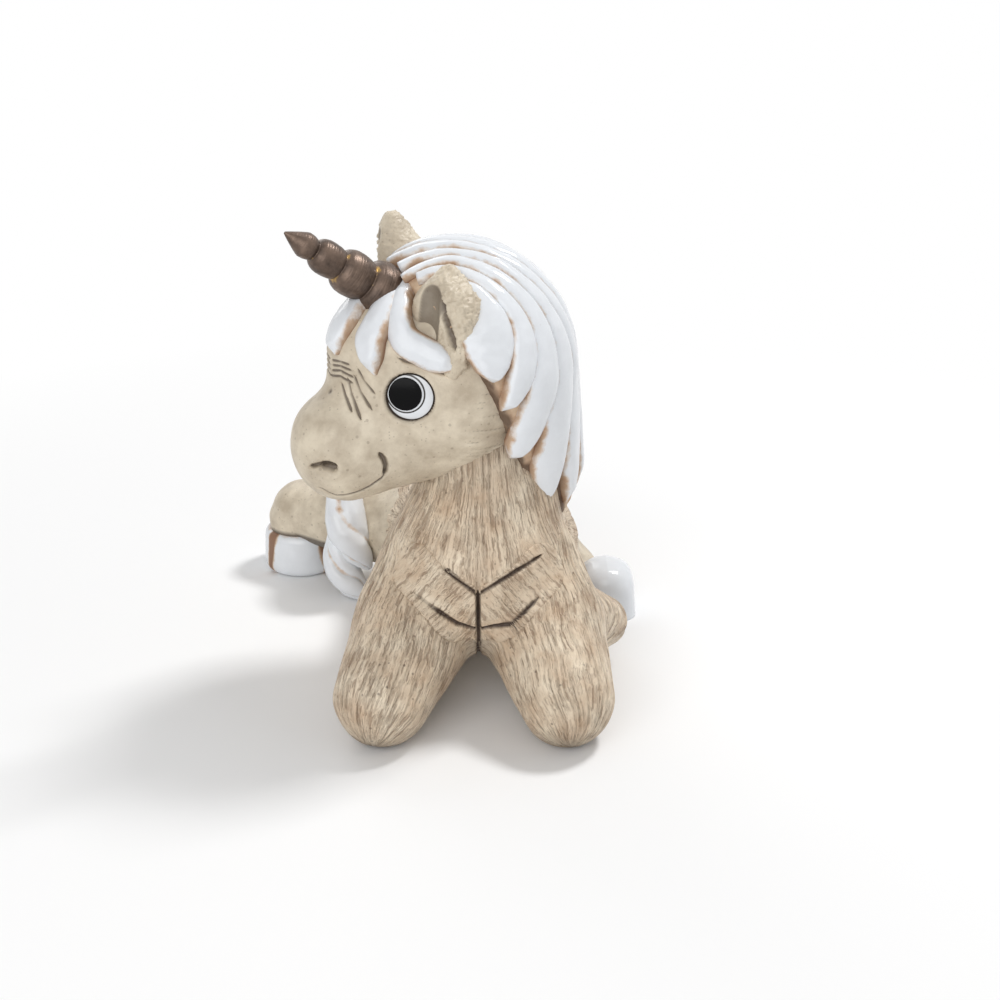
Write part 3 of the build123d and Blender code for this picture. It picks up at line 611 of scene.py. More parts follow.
def glazed(name, tint, rough):
    """Thick gloss glaze that pools unevenly, with pin holes. It is thin over the clay where the mask
    named edge, in mm from an edge, is small, and inked where the mask named ink is."""
    material, tree, shader = new_material(name)
    edge = marked(tree, "edge")
    texture = use(tree, grain, Grain=1400.0, Cloud=300.0)
    cloud = texture["Cloud"]
    thin = span(tree, worked(tree, "MULTIPLY_ADD", cloud, -2.0, edge), -0.5, -1.1)
    clay = blend(tree, span(tree, cloud, 0.3, 0.7), clay_under_glaze, clay_under_glaze_deep)
    clay = blend(tree, span(tree, edge, 0.2, -0.5), clay, clay_at_edge)
    pooled = colour(*[0.97 * part for part in tint])
    glaze = blend(tree, span(tree, cloud, 0.3, 0.75), colour(*tint), pooled)
    pits = use(tree, flecks, Scale=420.0, Size=0.1, Share=0.12)["Mask"]
    glaze = blend(tree, span(tree, pits, 0, 1, 0, 0.45), glaze, pin_hole)
    shown = blend(tree, thin, glaze, clay)
    shown = blend(tree, span(tree, marked(tree, "ink"), 0.35, 0.65), shown, eye_line)
    height = worked(tree, "SUBTRACT", texture["Height"], pits)
    fire(tree, shader, shown, span(tree, thin, 0, 1, rough, 0.55), height, 0.1, 0.0002)
    return material


white_glaze = glazed("white_glaze", (226, 229, 233), 0.14)
black_glaze = glazed("black_glaze", (8, 8, 9), 0.22)
black_glaze.node_tree.nodes["Principled BSDF"].inputs["Specular IOR Level"].default_value = 0.1


def facing(field, place):
    """The outward direction of a form at a place on its skin: the slope of its distance."""
    slopes = [field(place + 0.4 * axis) - field(place - 0.4 * axis) for axis in np.eye(3)]
    return unit(np.array(slopes))


for side_name, side in (("left", 1), ("right", -1)):
    gaze = facing(head, eye_places[side])
    seat = eye_places[side] - gaze * eye_sunk
    out = np.linspace(1, 0, 60)
    white_dome = np.stack([eye_swell * (1 - out**2.4), eye_radius * out], -1)
    profile = np.concatenate([[(-eye_depth, 0), (-eye_depth, eye_radius)], white_dome])
    grid = turned(profile, seat, gaze, 120)
    aside = from_head(16.8, side * 13.2, -1.0) - seat
    pupil_seat = seat + aside - gaze * (aside @ gaze) + gaze * pupil_rise
    beside = grid - pupil_seat
    from_pupil = np.linalg.norm(beside - gaze * (beside @ gaze)[..., None], axis=-1)
    ring = np.clip(1.3 - np.abs(from_pupil - pupil_radius - 0.5) / pupil_ring, 0, 1)
    rim = np.clip((np.linalg.norm(grid - seat, axis=-1) - eye_radius + 0.25) / 0.3, 0, 1)
    piece("eye_disc_" + side_name, grid, white_glaze, "white_glaze", ["eye_white_" + side_name],
          edge=9, ink=np.maximum(ring, rim))
    dark_dome = np.stack([pupil_swell * (1 - out**2.2), pupil_radius * out], -1)
    profile = np.concatenate([[(-pupil_depth, 0), (-pupil_depth, pupil_radius)], dark_dome])
    piece("pupil_disc_" + side_name, turned(profile, pupil_seat, gaze, 96), black_glaze, "black_glaze",
          ["pupil_" + side_name], edge=9, ink=0)

# Horn
# Turned in one piece with four beads, stuck on the forehead, and painted with a dark bronze lustre that
# has burnt through to gold in the valleys.
horn_place = math.radians(47)
horn_rise = math.radians(35)
horn_seat = from_head(skull[3] * math.cos(horn_place), 0, skull[3] * math.sin(horn_place))
horn_axis = face_forward * math.cos(horn_rise) + up * math.sin(horn_rise)
bead_places = (3.0, 9.5, 15.75, 20.9)
bead_radii = (5.65, 4.45, 3.4, 2.5)
valley_places = (-3.2, 6.4, 12.8, 18.6, 25.3)
valley_radii = (4.2, 3.75, 2.85, 1.85, 0.25)
bronze_deep, bronze_light = colour(72, 59, 51), colour(118, 99, 86)
worn_gold = colour(206, 166, 88)


def beaded(along):
    """The horn's radius. Each bead rises from the valley on either side along a rounded shoulder,
    and the last one runs out to the tip in a cone."""
    radius = np.zeros_like(along)
    for k, (place, bead) in enumerate(zip(bead_places, bead_radii)):
        for valley, low in ((valley_places[k], valley_radii[k]), (valley_places[k + 1], valley_radii[k + 1])):
            share = (along - place) / (valley - place)
            held = np.clip(share, 0, 1)
            curve = 1 - held**1.15 if low < 1 else (1 - held**2.3) ** 0.62
            radius = np.where(share == held, low + (bead - low) * curve, radius)
    return radius


def lustre():
    """Metal lustre, brushed round the beads, dark bronze with worn gold where the mask named gold is."""
    material, tree, shader = new_material("bronze_lustre")
    texture = use(tree, grain, Grain=1500.0, Cloud=420.0)
    cloud = texture["Cloud"]
    bronze = blend(tree, span(tree, cloud, 0.3, 0.7), bronze_deep, bronze_light)
    patch = worked(tree, "MULTIPLY", cloud, marked(tree, "gold"))
    shown = blend(tree, span(tree, patch, 0.42, 0.56), bronze, worn_gold)
    shader.inputs["Metallic"].default_value = 0.6
    rough = span(tree, texture["Height"], 0.3, 0.7, 0.32, 0.5)
    fire(tree, shader, shown, rough, texture["Height"], 0.3, 0.0001)
    return material


along = np.linspace(valley_places[0], valley_places[-1], 260)
profile = np.stack([along, beaded(along)], -1)
profile = np.concatenate([[(along[0], 0)], profile, [(along[-1] + 0.1, 0)]])
grid = turned(profile, horn_seat, horn_axis, 160)
centre_line = horn_seat + horn_axis * profile[:, :1]
brush = knots(np.arange(262)[:, None], np.arange(160)[None] / 10, 5) - 0.5
brushed = 0.02 * brush + 0.015 * lumps(grid, 2.5, 6)
grid = centre_line[:, None] + (grid - centre_line[:, None]) * (1 + brushed[..., None])
valley = np.min([np.abs(profile[:, 0] - place) for place in valley_places[1:4]], axis=0)
back = np.clip((2.2 - profile[:, 0]) / 2.5, 0, 1)[:, None] * ((grid - centre_line[:, None]) @ up > 2)
gold = np.maximum(0.55 + 0.32 * np.clip(1 - valley / 0.9, 0, 1)[:, None], 1.4 * back)
piece("turned_horn", grid, lustre(), "lustre", ["horn"], gold=gold)

# Ears
# Two pinched leaves, open to the front, with a fold down the middle. The inside is sponged smooth, and
# the rim and the outer half are left rough with crumbs of clay.
ear_opening = math.radians(25)
ear_hollow = ((2.2, -3.2), (1.6, 1.0), (1.1, 4.4))
cup_radius = 3.0
cup_ahead = 1.7
ear_slit = ((-1.0, 3.7), (-1.9, 1.0), (-3.2, -2.7), (-4.6, -5.9))

# For each ear: its side, how far its front lies before its middle, and its balls from root to tip
ears = {
    "left": (1, 3.6, (8.8, 15.0, 6.5, 5.2), (7.75, 13.45, 13.45, 7.2), (7.0, 12.4, 20.4, 2.3)),
    "right": (-1, 3.8, (5.4, -14.2, 12.0, 4.4), (5.9, -14.3, 19.1, 6.3), (6.4, -14.4, 26.2, 2.3)),
}

for side_name, (side, depth, *balls) in ears.items():
    stops = [from_head(*stop) for stop in balls]
    opening = face_forward * math.cos(ear_opening) + face_left * side * math.sin(ear_opening)
    broad = np.cross(opening, unit(stops[2][:3] - stops[0][:3]))
    middle = stops[1][:3] + opening * depth

    def on_front(places, ahead=0):
        """Places on the sliced front, each a distance to the outer side and one up from its middle."""
        return [middle + opening * ahead + broad * side * aside + up * rise for aside, rise in places]

    cup = [np.append(place, cup_radius) for place in on_front(ear_hollow, cup_ahead)]

    def ear(points):
        """A leaf of clay: a swelling limb whose front is sliced off and hollowed."""
        leaf = cut(limb(points, *stops), (points - middle) @ opening, 1.6)
        return cut(leaf, -limb(points, *cup), 0.7)

    back = [stop[:3] - opening * 2.6 for stop in stops]
    grid, outward = skin(ear, back, face_left, 170, 220)
    inside = np.clip((0.35 - limb(grid, *cup)) / 0.3, 0, 1)
    fold = needled(grid, on_front(ear_slit), 0.8)
    outer = np.clip(0.5 - side * (grid - middle) @ broad / 2, 0, 1)
    stipple = (0.35 + 0.65 * outer) * (lumps(grid, 0.8, 31) + 0.7 * lumps(grid, 0.4, 32))
    height = stipple * 0.3 * (1 - inside) - 1.0 * groove(fold)
    # Painted shade darkens the hollow inside the ear; outside it, the low places of the stipple are a little
    # darker
    wash = 0.6 * inside + 0.2 * np.clip(-stipple, 0, 1) * (1 - inside)
    grid = grid + outward * height[..., None]
    piece("pinched_ear_" + side_name, grid, face, "washed_clay", ["ear_" + side_name],
          wash=wash, line=fold)

# Forelegs
# Two thick lumps pressed on to the chest, each with its elbow behind, and combed from shoulder to foot.
leg_seat = 2.4
elbow_fillet = 2.5
elbow_root_radius = 11.5
middle_gap = 0.15
middle_crease = 1.2

# Each foreleg: its name and side, and how far its foot and its elbow lie from the animal's middle
forelegs = (("left", 1, 17.8, 27.0), ("right", -1, 19.4, 22.0))


def foreleg_form(points, side, foot_spread, elbow_spread):
    """Shoulder, upper arm and foot, with the elbow luted on, cut off at the animal's middle."""
    shoulder = ball(side * 9, 39, 26, 13)
    upper_arm = ball(side * 13.2, 47, 18, 13)
    forefoot = ball(side * foot_spread, 63, 9.2, 9.8)
    elbow = ball(side * elbow_spread, 29.6, 9.6, 6)
    arm = limb(points, shoulder, upper_arm, forefoot)
    own = luted(arm, limb(points, np.append(upper_arm[:3], elbow_root_radius), elbow), elbow_fillet)
    return cut(own, middle_gap - side * points[..., 0], middle_crease)


for side_name, side, foot_spread, elbow_spread in forelegs:

    def foreleg(points):
        """The foreleg with a fillet of slip to the trunk, as wide as its seat."""
        own = foreleg_form(points, side, foot_spread, elbow_spread)
        return cut(luted(own, trunk(points), leg_seat), own - 0.8 * leg_seat, 0.3)

    leg_path = [(side * 8, -39, 31), (side * 13, -47, 19), (side * foot_spread, -64, 4.5)]
    grid, outward = skin(foreleg, leg_path, np.array([0, 1.0, 0.3]), 230, 400)
    grid, comb, wash = combed(grid, outward, 20 + side)
    grid, line = seated(grid, outward)
    # Painted shade between the two forelegs, darkest at the middle where they meet, with the brown stain of
    # their crease; the front of each foot is darker towards the ground
    inner = 0.45 * np.clip(1 - np.abs(grid[..., 0]) / 5, 0, 1)
    toes = 0.4 * np.clip((7 - grid[..., 2]) / 7, 0, 1) * np.clip((-grid[..., 1] - 60) / 8, 0, 1)
    wash = np.clip(wash + inner + toes, 0, 1)
    piece("carved_foreleg_" + side_name, grid, coat, "washed_clay", ["foreleg_" + side_name],
          wash=wash, comb=comb, line=line)

# Chest folds
# Two flat bands of the same stoneware, pressed flush over the place where neck and forelegs meet. Their
# outlines are cut in with a knife, and they are combed across.
fold_edge = 0.6

for side_name, side in (("left", 1), ("right", -1)):
    outer, inner = fold_stops[side]

    def chest_fold(points):
        """A thick band between two balls, no further out than the clay that it is pressed into."""
        ground = np.min([foreleg_form(points, *leg[1:]) for leg in forelegs], axis=0)
        band = cut(limb(points, outer, inner), middle_gap - side * points[..., 0], fold_edge)
        return cut(band, luted(ground, trunk(points), leg_seat) - 0.1, 0.4)

    grid, outward = skin(chest_fold, [outer[:3], inner[:3]], up, 190, 220, 0.3)
    line = fold_lines(grid)
    along = (grid @ unit(outer[:3] - inner[:3])) / coat_lane
    comb = np.stack([along, 0 * along, (grid @ up) / coat_stroke], -1)
    grid = grid + outward * (0.06 * lumps(grid, 1.5, 33) - 0.7 * groove(line))[..., None]
    piece("carved_fold_" + side_name, grid, coat, "washed_clay", ["chest_fold_" + side_name],
          wash=0.1, comb=comb, line=line)

# Haunches and hind legs
# A lump on each side of the rump. The right leg lies out to the side and ends in a rounded fetlock,
# the left one is folded forward beside the belly. Below the combed haunch the clay is smooth.
haunches = {
    "left": (ball(12, -4, 14.5, 11.5), ball(12, -11, 10.5, 10.7)),
    "right": (ball(-13.5, -4, 17, 12.5), ball(-13.5, -11, 13, 11.6)),
}
leg_fillet = 3.0
leg_reach = 2.4
hind_legs = {
    "left": (ball(12, -4, 13, 9.0), ball(15.5, -19, 7.6, 7.2), ball(24, -4, 5.6, 5.6)),
    "right": (ball(-13.5, -4, 17, 9.8), ball(-27.6, -11.7, 16.2, 9.6), ball(-46.0, -21.8, 15.4, 7.9),
              ball(-46.7, -22.2, 12.8, 8.2)),
}


def set_on(own, carrier):
    """A lump with a fillet of slip to what carries it, which ends a little outside the lump."""
    return cut(luted(own, carrier, leg_fillet), own - leg_reach, 0.3)


for side_name, side in (("left", 1), ("right", -1)):

    def set_haunch(points):
        """The haunch with a fillet of slip to the trunk."""
        return set_on(limb(points, *haunches[side_name]), trunk(points))

    middle, end = (stop[:3] for stop in haunches[side_name])
    grid, outward = skin(set_haunch, [middle + np.array([0, -2, 1]), end], up, 120, 240, 0.4)
    grid, comb, wash = combed(grid, outward, 40 + side)
    piece("carved_haunch_" + side_name, grid, coat, "washed_clay", ["haunch_" + side_name],
          wash=wash, comb=comb, line=9)

    def set_leg(points):
        """The leg with a fillet of slip to haunch and trunk."""
        carrier = np.minimum(limb(points, *haunches[side_name]), trunk(points))
        return set_on(limb(points, *hind_legs[side_name]), carrier)

    grid, outward = skin(set_leg, [stop[:3] for stop in hind_legs[side_name]], up, 200, 200)
    grid = grid + outward * (0.15 * lumps(grid, 3.0, 51))[..., None]
    crease = np.clip((13 - grid[..., 2]) / 1.5, 0, 1) * (grid[..., 0] < -36)
    wash = np.maximum(0.2 * np.clip(lumps(grid, 2.0, 50), 0, 1), 0.7 * crease)
    piece("smooth_leg_" + side_name, grid, face, "washed_clay", ["hind_leg_" + side_name], wash=wash, line=9)

# Hooves
# Dipped in white glaze. The right one is a broad drum under the fetlock, and the glaze is wiped off in
# an upright stripe on each side. The left one shows behind the elbow.
hoof_radius = 10.0
hoof_height = 11.2
hoof_flare = 0.06
hoof_edge = 2.2
hoof_foot_edge = 3.0
hoof_centre = np.array([-46.8, 22.3, 0])
hoof_panel = math.radians(40)
hoof_stripe = math.radians(20)
left_hoof_centre = np.array([30.0, -3.5, 0])
left_hoof_half = np.array([7.2, 8.0, 0])
left_hoof_height = 12.8
left_hoof_edge = 6.0


def drum(points):
    """A drum that widens towards the ground, with rounded edges above and below."""
    offset = points - hoof_centre
    out = np.hypot(offset[..., 0], offset[..., 1]) - hoof_radius + hoof_flare * offset[..., 2]
    return cut(cut(out, offset[..., 2] - hoof_height, hoof_edge), 0.02 - offset[..., 2], hoof_foot_edge)


grid, outward = skin(drum, [hoof_centre + up * 3, hoof_centre + up * 7], face_forward, 130, 260, 0.8)
offset = grid - hoof_centre
front = np.arctan2(offset[..., 0] + 0.6, -offset[..., 1])
beside = (hoof_panel - 0.02 * offset[..., 2] - np.abs(front)) * hoof_radius
past = (np.abs(front) - hoof_panel - hoof_stripe) * hoof_radius
edge = np.minimum(np.maximum(beside, past), 0.9 * (hoof_height - 0.9 - offset[..., 2]))
piece("dipped_hoof_right", grid, white_glaze, "white_glaze", ["hoof_right"], edge=0.9 + edge, ink=0)


def left_hoof(points):
    """A block with well rounded edges, a little narrower above."""
    offset = np.abs(points - left_hoof_centre) - left_hoof_half + 0.07 * points[..., 2:]
    sides = cut(offset[..., 0], offset[..., 1], left_hoof_edge)
    block = cut(sides, points[..., 2] - left_hoof_height, left_hoof_edge)
    return cut(block, -1.0 - points[..., 2], 0.5)


left_hoof_path = [left_hoof_centre + np.array([0, 2.5, 6.0]), left_hoof_centre + np.array([0, -2.5, 6.0])]
grid, outward = skin(left_hoof, left_hoof_path, up, 110, 160, 0.8)
piece("dipped_hoof_left", grid, white_glaze, "white_glaze", ["hoof_left"], edge=9, ink=0)

# Mane bed
# A layer of pinkish clay over crown and nape, cut off straight behind the face, that carries the strands.
bed_radius = 23.2
bed_end_radius = 13.0
bed_front = 3.0
mane_fall = np.array([12.6, 6.0, -27.5])
mane_down = unit(mane_fall)
mane_front = unit(face_forward - mane_down * (face_forward @ mane_down))
mane_side = np.cross(mane_front, mane_down)
bed_stops = (np.append(skull[:3], bed_radius), np.append(skull[:3] + mane_fall, bed_end_radius))
fall_length = np.linalg.norm(mane_fall)
slope = math.acos((bed_radius - bed_end_radius) / fall_length)
ball_run = bed_radius * (math.pi - slope)
mane_run = ball_run + fall_length * math.sin(slope)


bed_clay, bed_clay_deep = colour(212, 188, 160), colour(170, 136, 108)
bed_iron = colour(104, 78, 58)
bed_stain = colour(70, 50, 36)


def bare_clay():
    """Unglazed clay that the fire has turned pinkish, brown where the mask named wash is."""
    material, tree, shader = new_material("bare_clay")
    texture = use(tree, grain, Grain=1800.0, Cloud=300.0)
    body = blend(tree, span(tree, texture["Cloud"], 0.3, 0.7), bed_clay, bed_clay_deep)
    spots = use(tree, flecks, Scale=520.0, Size=0.2, Share=0.15)["Mask"]
    speckled = blend(tree, span(tree, spots, 0, 1, 0, 0.5), body, bed_iron)
    shown = blend(tree, marked(tree, "wash"), speckled, bed_stain)
    fire(tree, shader, shown, 0.75, texture["Height"], 0.4, 0.0001)
    return material


def mane_bed(points):
    """A ball that slides down the neck and gets smaller, cut off by a plane behind the face."""
    return cut(limb(points, *bed_stops), (points - skull[:3]) @ mane_front - bed_front, 1.0)


bed_path = [skull[:3] - mane_front * 4 - mane_down * 2, skull[:3] + mane_fall - mane_front * 3]
grid, outward = skin(mane_bed, bed_path, mane_front, 170, 260, 0.35)
grid = grid + outward * (0.2 * lumps(grid, 1.6, 61) + 0.1 * lumps(grid, 0.7, 62) - 0.3)[..., None]
rim = (grid - skull[:3]) @ mane_front - 1.6 + 0.6 * lumps(grid, 1.2, 63)
foot = 1.6 - trunk(grid)
low = (skull[2] - grid[..., 2]) / 8
wash = np.clip(np.maximum(np.minimum(rim, low + 1.2), foot), 0, 0.85)
piece("clay_bed", grid, bare_clay(), "bare_clay", ["mane_bed"], wash=wash)

# Mane and forelock
# Strands of white glazed clay laid from the crown over the bed, each pressed flat at its edges and
# drawn out to a point. The glaze runs thin along the edges and shows the clay.
strand_thickness = 2.1
forelock_thickness = 2.3
strand_half_width = 7.2
strand_fill = 0.54
strand_overlap = 1.2
strand_swell = ((0, 0.1, 0.25, 0.72, 0.86, 0.95, 1), (0.55, 0.85, 1, 1, 0.82, 0.48, 0.06))
behind_ear = ((0, 0.35, 0.6, 1), (0.2, 0.35, 1, 1))

# Each side strand passes through places on the bed, each a turn and a share of the mane's run.
# Those of the right side are mirrored, and start further down.
side_strands = (
    ((102, 0.18), (107, 0.27), (102, 0.36), (85, 0.46)),
    ((84, 0.10), (112, 0.15), (117, 0.25), (112, 0.38), (99, 0.47), (82, 0.54)),
    ((60, 0.08), (122, 0.12), (128, 0.24), (124, 0.38), (114, 0.51), (96, 0.62), (76, 0.71)),
    ((50, 0.03), (142, 0.10), (139, 0.25), (134, 0.40), (127, 0.56), (114, 0.71), (85, 0.94)),
    ((-80, 0.06), (165, 0.10), (150, 0.25), (145, 0.42), (141, 0.60), (133, 0.76), (108, 1.02)),
    ((-100, 0.105), (-170, 0.135), (163, 0.27), (156, 0.45), (153, 0.65), (149, 0.85), (138, 1.03)),
    ((-112, 0.15), (-160, 0.19), (175, 0.31), (169, 0.48), (167, 0.67), (165, 0.85), (162, 1.00)),
)
right_start_share = 0.235

# Each forelock passes through places in the head's own directions, with its half width there:
# forward, to its left, up, half width
forelocks = (
    ((9.6, 1.4, 18.0, 1.9), (13.5, 5.5, 15.5, 2.3), (15.9, 9.2, 12.1, 2.5), (15.7, 11.6, 9.1, 2.9),
     (13.2, 14.0, 7.2, 2.9), (10.4, 16.3, 5.4, 2.4), (8.1, 18.0, 3.9, 0.4)),
    ((10.6, -1.4, 17.6, 2.2), (15.1, 3.6, 15.5, 2.7), (19.2, 6.8, 12.0, 3.1), (21.4, 8.0, 8.7, 3.2),
     (21.8, 9.3, 5.7, 2.3), (21.3, 10.0, 2.6, 0.3)),
    ((11.0, -5.5, 17.5, 2.2), (18.0, -2.0, 15.0, 3.0), (22.5, 0.2, 12.0, 3.5), (25.2, 1.4, 8.6, 3.0),
     (26.2, 2.7, 5.4, 0.4)),
    ((10.0, -10.0, 16.0, 2.2), (13.5, -13.0, 12.0, 3.2), (13.5, -15.0, 8.4, 3.4), (9.0, -19.0, 3.0, 0.4)),
)


def mane_place(turn, share):
    """A point on the bed, from its turn and its share of the mane's run below the crown.

    The run goes over the ball of the skull, straight down the cone, and over the ball at the end.
    """
    aim = math.radians(turn)
    run = share * mane_run
    aside = mane_front * math.cos(aim) + mane_side * math.sin(aim)
    bend = min(run / bed_radius, math.pi - slope) + max(run - mane_run, 0) / bed_end_radius
    outward = aside * math.sin(bend) - mane_down * math.cos(bend)
    if run > mane_run:
        return skull[:3] + mane_fall + outward * bed_end_radius
    straight = mane_down * math.sin(slope) - aside * math.cos(slope)
    return skull[:3] + outward * bed_radius + straight * max(run - ball_run, 0)


def on_bed(points):
    """The nearest places on the bed, and their outward directions: the foot of each point on the bed's
    middle line, moved back by its taper, and the way from there to the point."""
    taper = (bed_radius - bed_end_radius) / fall_length
    offset = points - skull[:3]
    along = offset @ mane_down
    out = np.linalg.norm(offset - along[:, None] * mane_down, axis=-1)
    foot = np.clip(along - out * taper / math.sqrt(1 - taper**2), 0, fall_length)
    middle = skull[:3] + foot[:, None] * mane_down
    outward = unit(points - middle)
    return middle + outward * (bed_radius - taper * foot)[:, None], outward


def through(places, rows=100):
    """A smooth curve through the places: between two of them the sum of both and of their slopes,
    weighed by the Hermite polynomials of the share of the way."""
    places = np.asarray(places, float)
    reach = np.concatenate([[0], np.cumsum(np.linalg.norm(np.diff(places, axis=0), axis=-1))])
    slopes = np.gradient(places, reach, axis=0)
    run = np.linspace(0, reach[-1], rows)
    leg = np.clip(np.searchsorted(reach, run, side="right") - 1, 0, len(places) - 2)
    length = (reach[leg + 1] - reach[leg])[:, None]
    t = (run[:, None] - reach[leg][:, None]) / length
    value = (2 * t**3 - 3 * t**2 + 1) * places[leg] + (3 * t**2 - 2 * t**3) * places[leg + 1]
    return value + length * ((t**3 - 2 * t**2 + t) * slopes[leg] + (t**3 - t**2) * slopes[leg + 1])


def room_beside(spine, others):
    """How far a strand may spread to either side of its spine: a share of the way to the nearest
    other spine on that side, tapered to a thin start and a point."""
    place, outward = spine
    heading = unit(np.gradient(place, axis=0))
    aside = unit(np.cross(outward, heading))
    share = np.linspace(0, 1, len(place))
    swell = np.interp(share, *strand_swell)
    widths = []
    for side in (1, -1):
        room = np.full(len(place), strand_half_width)
        for other, _ in others:
            offset = other[None] - place[:, None]
            away = np.linalg.norm(offset, axis=-1)
            beside = side * (offset * aside[:, None]).sum(-1) > 0.45 * away
            fill = strand_fill if side < 0 else strand_overlap * strand_fill
            room = np.minimum(room, fill * np.where(beside, away, 99).min(1))
        smooth = np.convolve(np.pad(room, 7, mode="edge"), np.ones(15) / 15, mode="valid")
        widths.append(np.minimum(smooth, room + 0.8) * swell)
    return widths


def strand(spine, widths, thickness, seed):
    """A strand along its spine, a flattened oval that spreads by its own width to either side."""
    place, outward = spine
    columns = 56
    share = np.linspace(0, 1, len(place))
    heading = unit(np.gradient(place, axis=0))
    aside = unit(np.cross(outward, heading))
    turn = np.arange(columns) * 2 * math.pi / columns
    side_share = np.sign(np.cos(turn)) * np.abs(np.cos(turn)) ** 0.85
    rise_share = np.sign(np.sin(turn)) * np.abs(np.sin(turn)) ** 0.8
    wavy = [1 + 0.08 * knots(np.full(len(place), 3), share * 9, seed + k) for k in range(2)]
    width = np.where(side_share > 0, (widths[0] * wavy[0])[:, None], (widths[1] * wavy[1])[:, None])
    sideways = width * side_share
    height = np.minimum(thickness, 0.55 * (widths[0] + widths[1]))
    drop = sideways**2 / (2 * bed_radius)
    grid = place[:, None] + aside[:, None] * sideways[..., None]
    grid = grid + outward[:, None] * (height[:, None] * rise_share - drop)[..., None]
    swelling = 0.25 * lumps(grid, 4.5, seed) + 0.07 * lumps(grid, 1.3, seed + 1)
    grid = grid + swelling[..., None] * outward[:, None]
    edge = width * (1 - np.abs(side_share)) + 1.2 * np.minimum(rise_share, 0) - 0.15
    start, end = (np.broadcast_to(row.mean(0), (1, columns, 3)) for row in (grid[0], grid[-1]))
    return np.concatenate([start, grid, end]), np.concatenate([edge[:1], edge, edge[-1:]])


spines = {}
for number, places in enumerate(side_strands, 1):
    whole = [mane_place(turn, share) for turn, share in places]
    lower = [mane_place(-turn, share) for turn, share in places if share > right_start_share]
    spines[f"mane_left_{number}"] = on_bed(through(whole))
    spines[f"mane_right_{number}"] = on_bed(through(lower))

for seed, (name, spine) in enumerate(spines.items(), 70):
    widths = room_beside(spine, [other for other in spines.values() if other is not spine])
    if name in ("mane_left_1", "mane_right_1"):
        narrow = np.interp(np.linspace(0, 1, 100), *behind_ear)
        widths = [width * narrow if width.max() > 5 else width for width in widths]
    grid, edge = strand(spine, widths, strand_thickness, 3 * seed)
    piece("glazed_" + name, grid, white_glaze, "white_glaze", [name], edge=edge, ink=0)

for number, places in enumerate(forelocks, 1):
    run = through(places)
    spine = np.stack([from_head(*place) for place in run[:, :3]])
    half = run[:, 3].clip(0.15)
    grid, edge = strand((spine, unit(spine - skull[:3])), (half, half), forelock_thickness, 200 + number)
    piece(f"glazed_forelock_{number}", grid, white_glaze, "white_glaze", [f"forelock_{number}"],
          edge=edge, ink=0)

# Tail
# A short combed root on the rump, and two rolls of white glazed clay that curl forward over the right
# hind leg. Three grooves are drawn down each with a wire.
tail_root = (ball(0, -26.5, 28, 5), ball(0, -30.3, 31.4, 5))


def dock(points):
    """The root with a fillet of slip to the trunk."""
    return set_on(limb(points, *tail_root), trunk(points))


grid, outward = skin(dock, [stop[:3] for stop in tail_root], up, 70, 110, 0.8)
grid, comb, wash = combed(grid, outward, 80)
piece("carved_tail_dock", grid, coat, "washed_clay", ["tail_dock"], wash=wash, comb=comb, line=9)

tail_locks = {
    "tail_lock_main": (
        (0, 30.3, 31.4, 3.2), (-15.1, 20.5, 30.0, 4.1), (-26, 17.5, 29.2, 4.2), (-32.3, 12.8, 27.6, 4.3),
        (-33.4, 4.5, 24.2, 4.6), (-32.4, 1.1, 18.5, 5.0), (-30.4, 0.8, 13.5, 3.8), (-28.0, 1.1, 9.3, 1.2),
    ),
    "tail_lock_outer": (
        (-35.4, 2.8, 15.5, 2.6), (-35.0, 2.4, 10.5, 4.0), (-32.8, 1.2, 5.2, 3.9), (-29.2, 0.4, 2.0, 2.0),
    ),
}
for seed, (name, stops) in enumerate(tail_locks.items(), 85):
    chain = through(stops, 24)
    grid, outward = skin(lambda points: limb(points, *chain), chain[:, :3], up, 170, 120, 0.15)
    turn = np.arange(120) * 2 * math.pi / 120 + np.linspace(0, 2.4, 170)[:, None]
    flute = 0.5 + 0.5 * np.cos(3 * turn + 0.5 * lumps(grid, 7.0, seed))
    grid = grid + outward * (0.2 * lumps(grid, 4.0, seed) - 0.8 * flute**5)[..., None]
    piece("glazed_" + name, grid, white_glaze, "white_glaze", [name], edge=2.2 - 2.0 * flute**5, ink=0)

# Studio
# A pale floor and backdrop, three soft lamps, and a camera where the photographer stood.
view_distance = 300
view_dip = math.radians(22)
view_aim = np.array([4.4, -30, 39])
shadow_reach, backdrop_reach = 0.07, 0.26
backdrop, tree, shader = new_material("pale_floor")
shader.inputs["Base Color"].default_value = (0.9, 0.9, 0.9, 1)
shader.inputs["Roughness"].default_value = 0.9


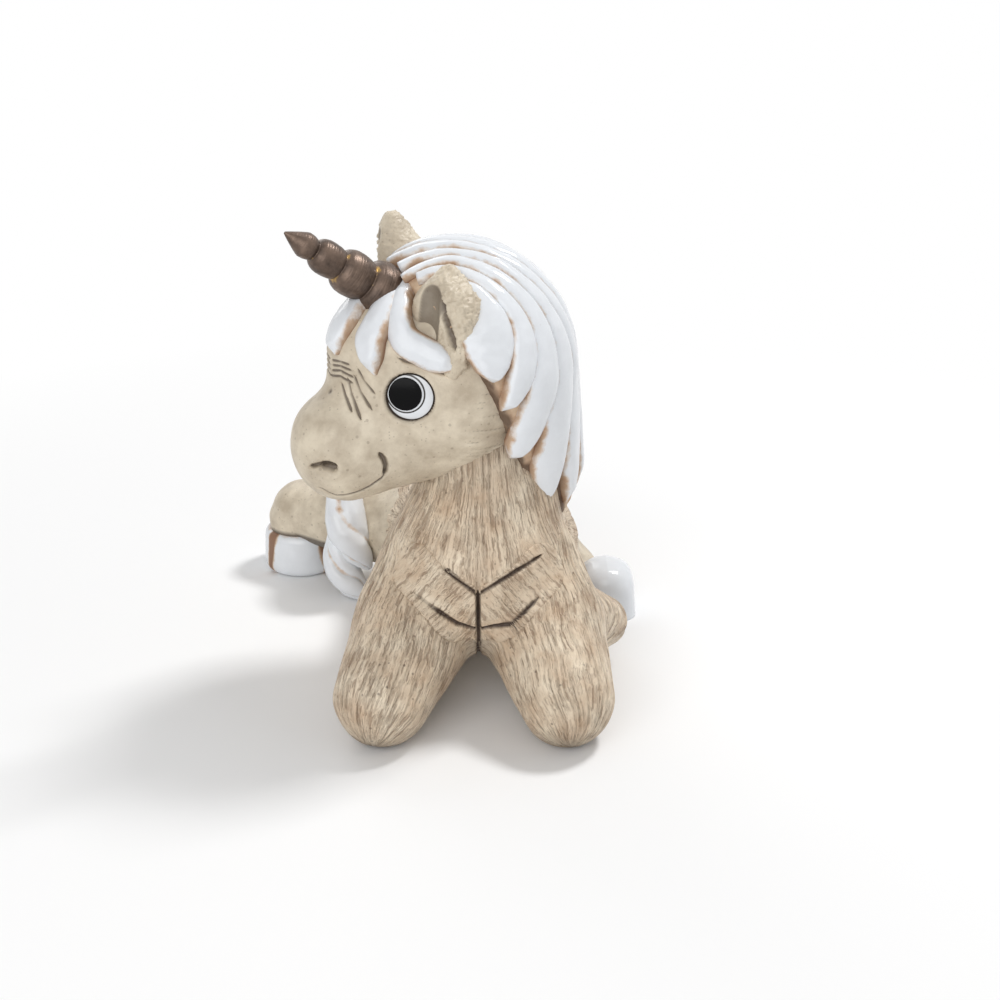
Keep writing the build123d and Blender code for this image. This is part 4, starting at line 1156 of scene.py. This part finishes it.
def seen_directly(tree):
    """1 for rays from the camera and for reflections, 0 for the light that falls on the object."""
    rays = add(tree, "ShaderNodeLightPath")
    return worked(tree, "MAXIMUM", rays.outputs["Is Camera Ray"], rays.outputs["Is Glossy Ray"])


away = add(tree, "ShaderNodeVectorMath", {0: own_place(tree)}, operation="LENGTH").outputs["Value"]
far = span(tree, away, shadow_reach, backdrop_reach)
white = add(tree, "ShaderNodeEmission")
mask = worked(tree, "MULTIPLY", seen_directly(tree), far)
mixed = add(tree, "ShaderNodeMixShader", {0: mask, 1: shader.outputs[0], 2: white.outputs[0]})
tree.links.new(mixed.outputs[0], tree.nodes["Material Output"].inputs["Surface"])
bpy.ops.mesh.primitive_plane_add(size=40)
floor = bpy.context.object
floor.name = "floor"
floor.data.materials.append(backdrop)

world = bpy.data.worlds.new("studio")
world.use_nodes = True
sky = world.node_tree
sky.nodes["Background"].inputs["Color"].default_value = (1, 1, 1, 1)
sky.links.new(span(sky, seen_directly(sky), 0, 1, 0.4, 1.0), sky.nodes["Background"].inputs["Strength"])
bpy.context.scene.world = world

# Each lamp's place and size in metres, and its power in watts
for name, place, size, power in (
    ("key_lamp", (0.30, 0.14, 0.60), 0.12, 2.5),
    ("fill_lamp", (-0.20, -0.60, 0.32), 0.6, 2.2),
    ("back_lamp", (-0.3, 0.5, 0.4), 0.4, 0.8),
):
    lamp = bpy.data.lights.new(name, "AREA")
    lamp.size = size
    lamp.energy = power
    hung = bpy.data.objects.new(name, lamp)
    hung.location = place
    aim = np.array(place) - view_aim * millimetre
    hung.rotation_euler = Vector(aim).to_track_quat("Z", "Y").to_euler()
    bpy.context.scene.collection.objects.link(hung)

camera = bpy.data.objects.new("camera", bpy.data.cameras.new("camera"))
camera.data.lens = 50
camera.data.sensor_width = 36
camera.data.clip_start = 0.01
eye = view_aim - view_distance * np.array([0, math.cos(view_dip), -math.sin(view_dip)])
camera.location = eye * millimetre
camera.rotation_euler = (math.pi / 2 - view_dip, 0, 0)
bpy.context.scene.collection.objects.link(camera)
bpy.context.scene.camera = camera
bpy.context.scene.view_settings.view_transform = "Standard"
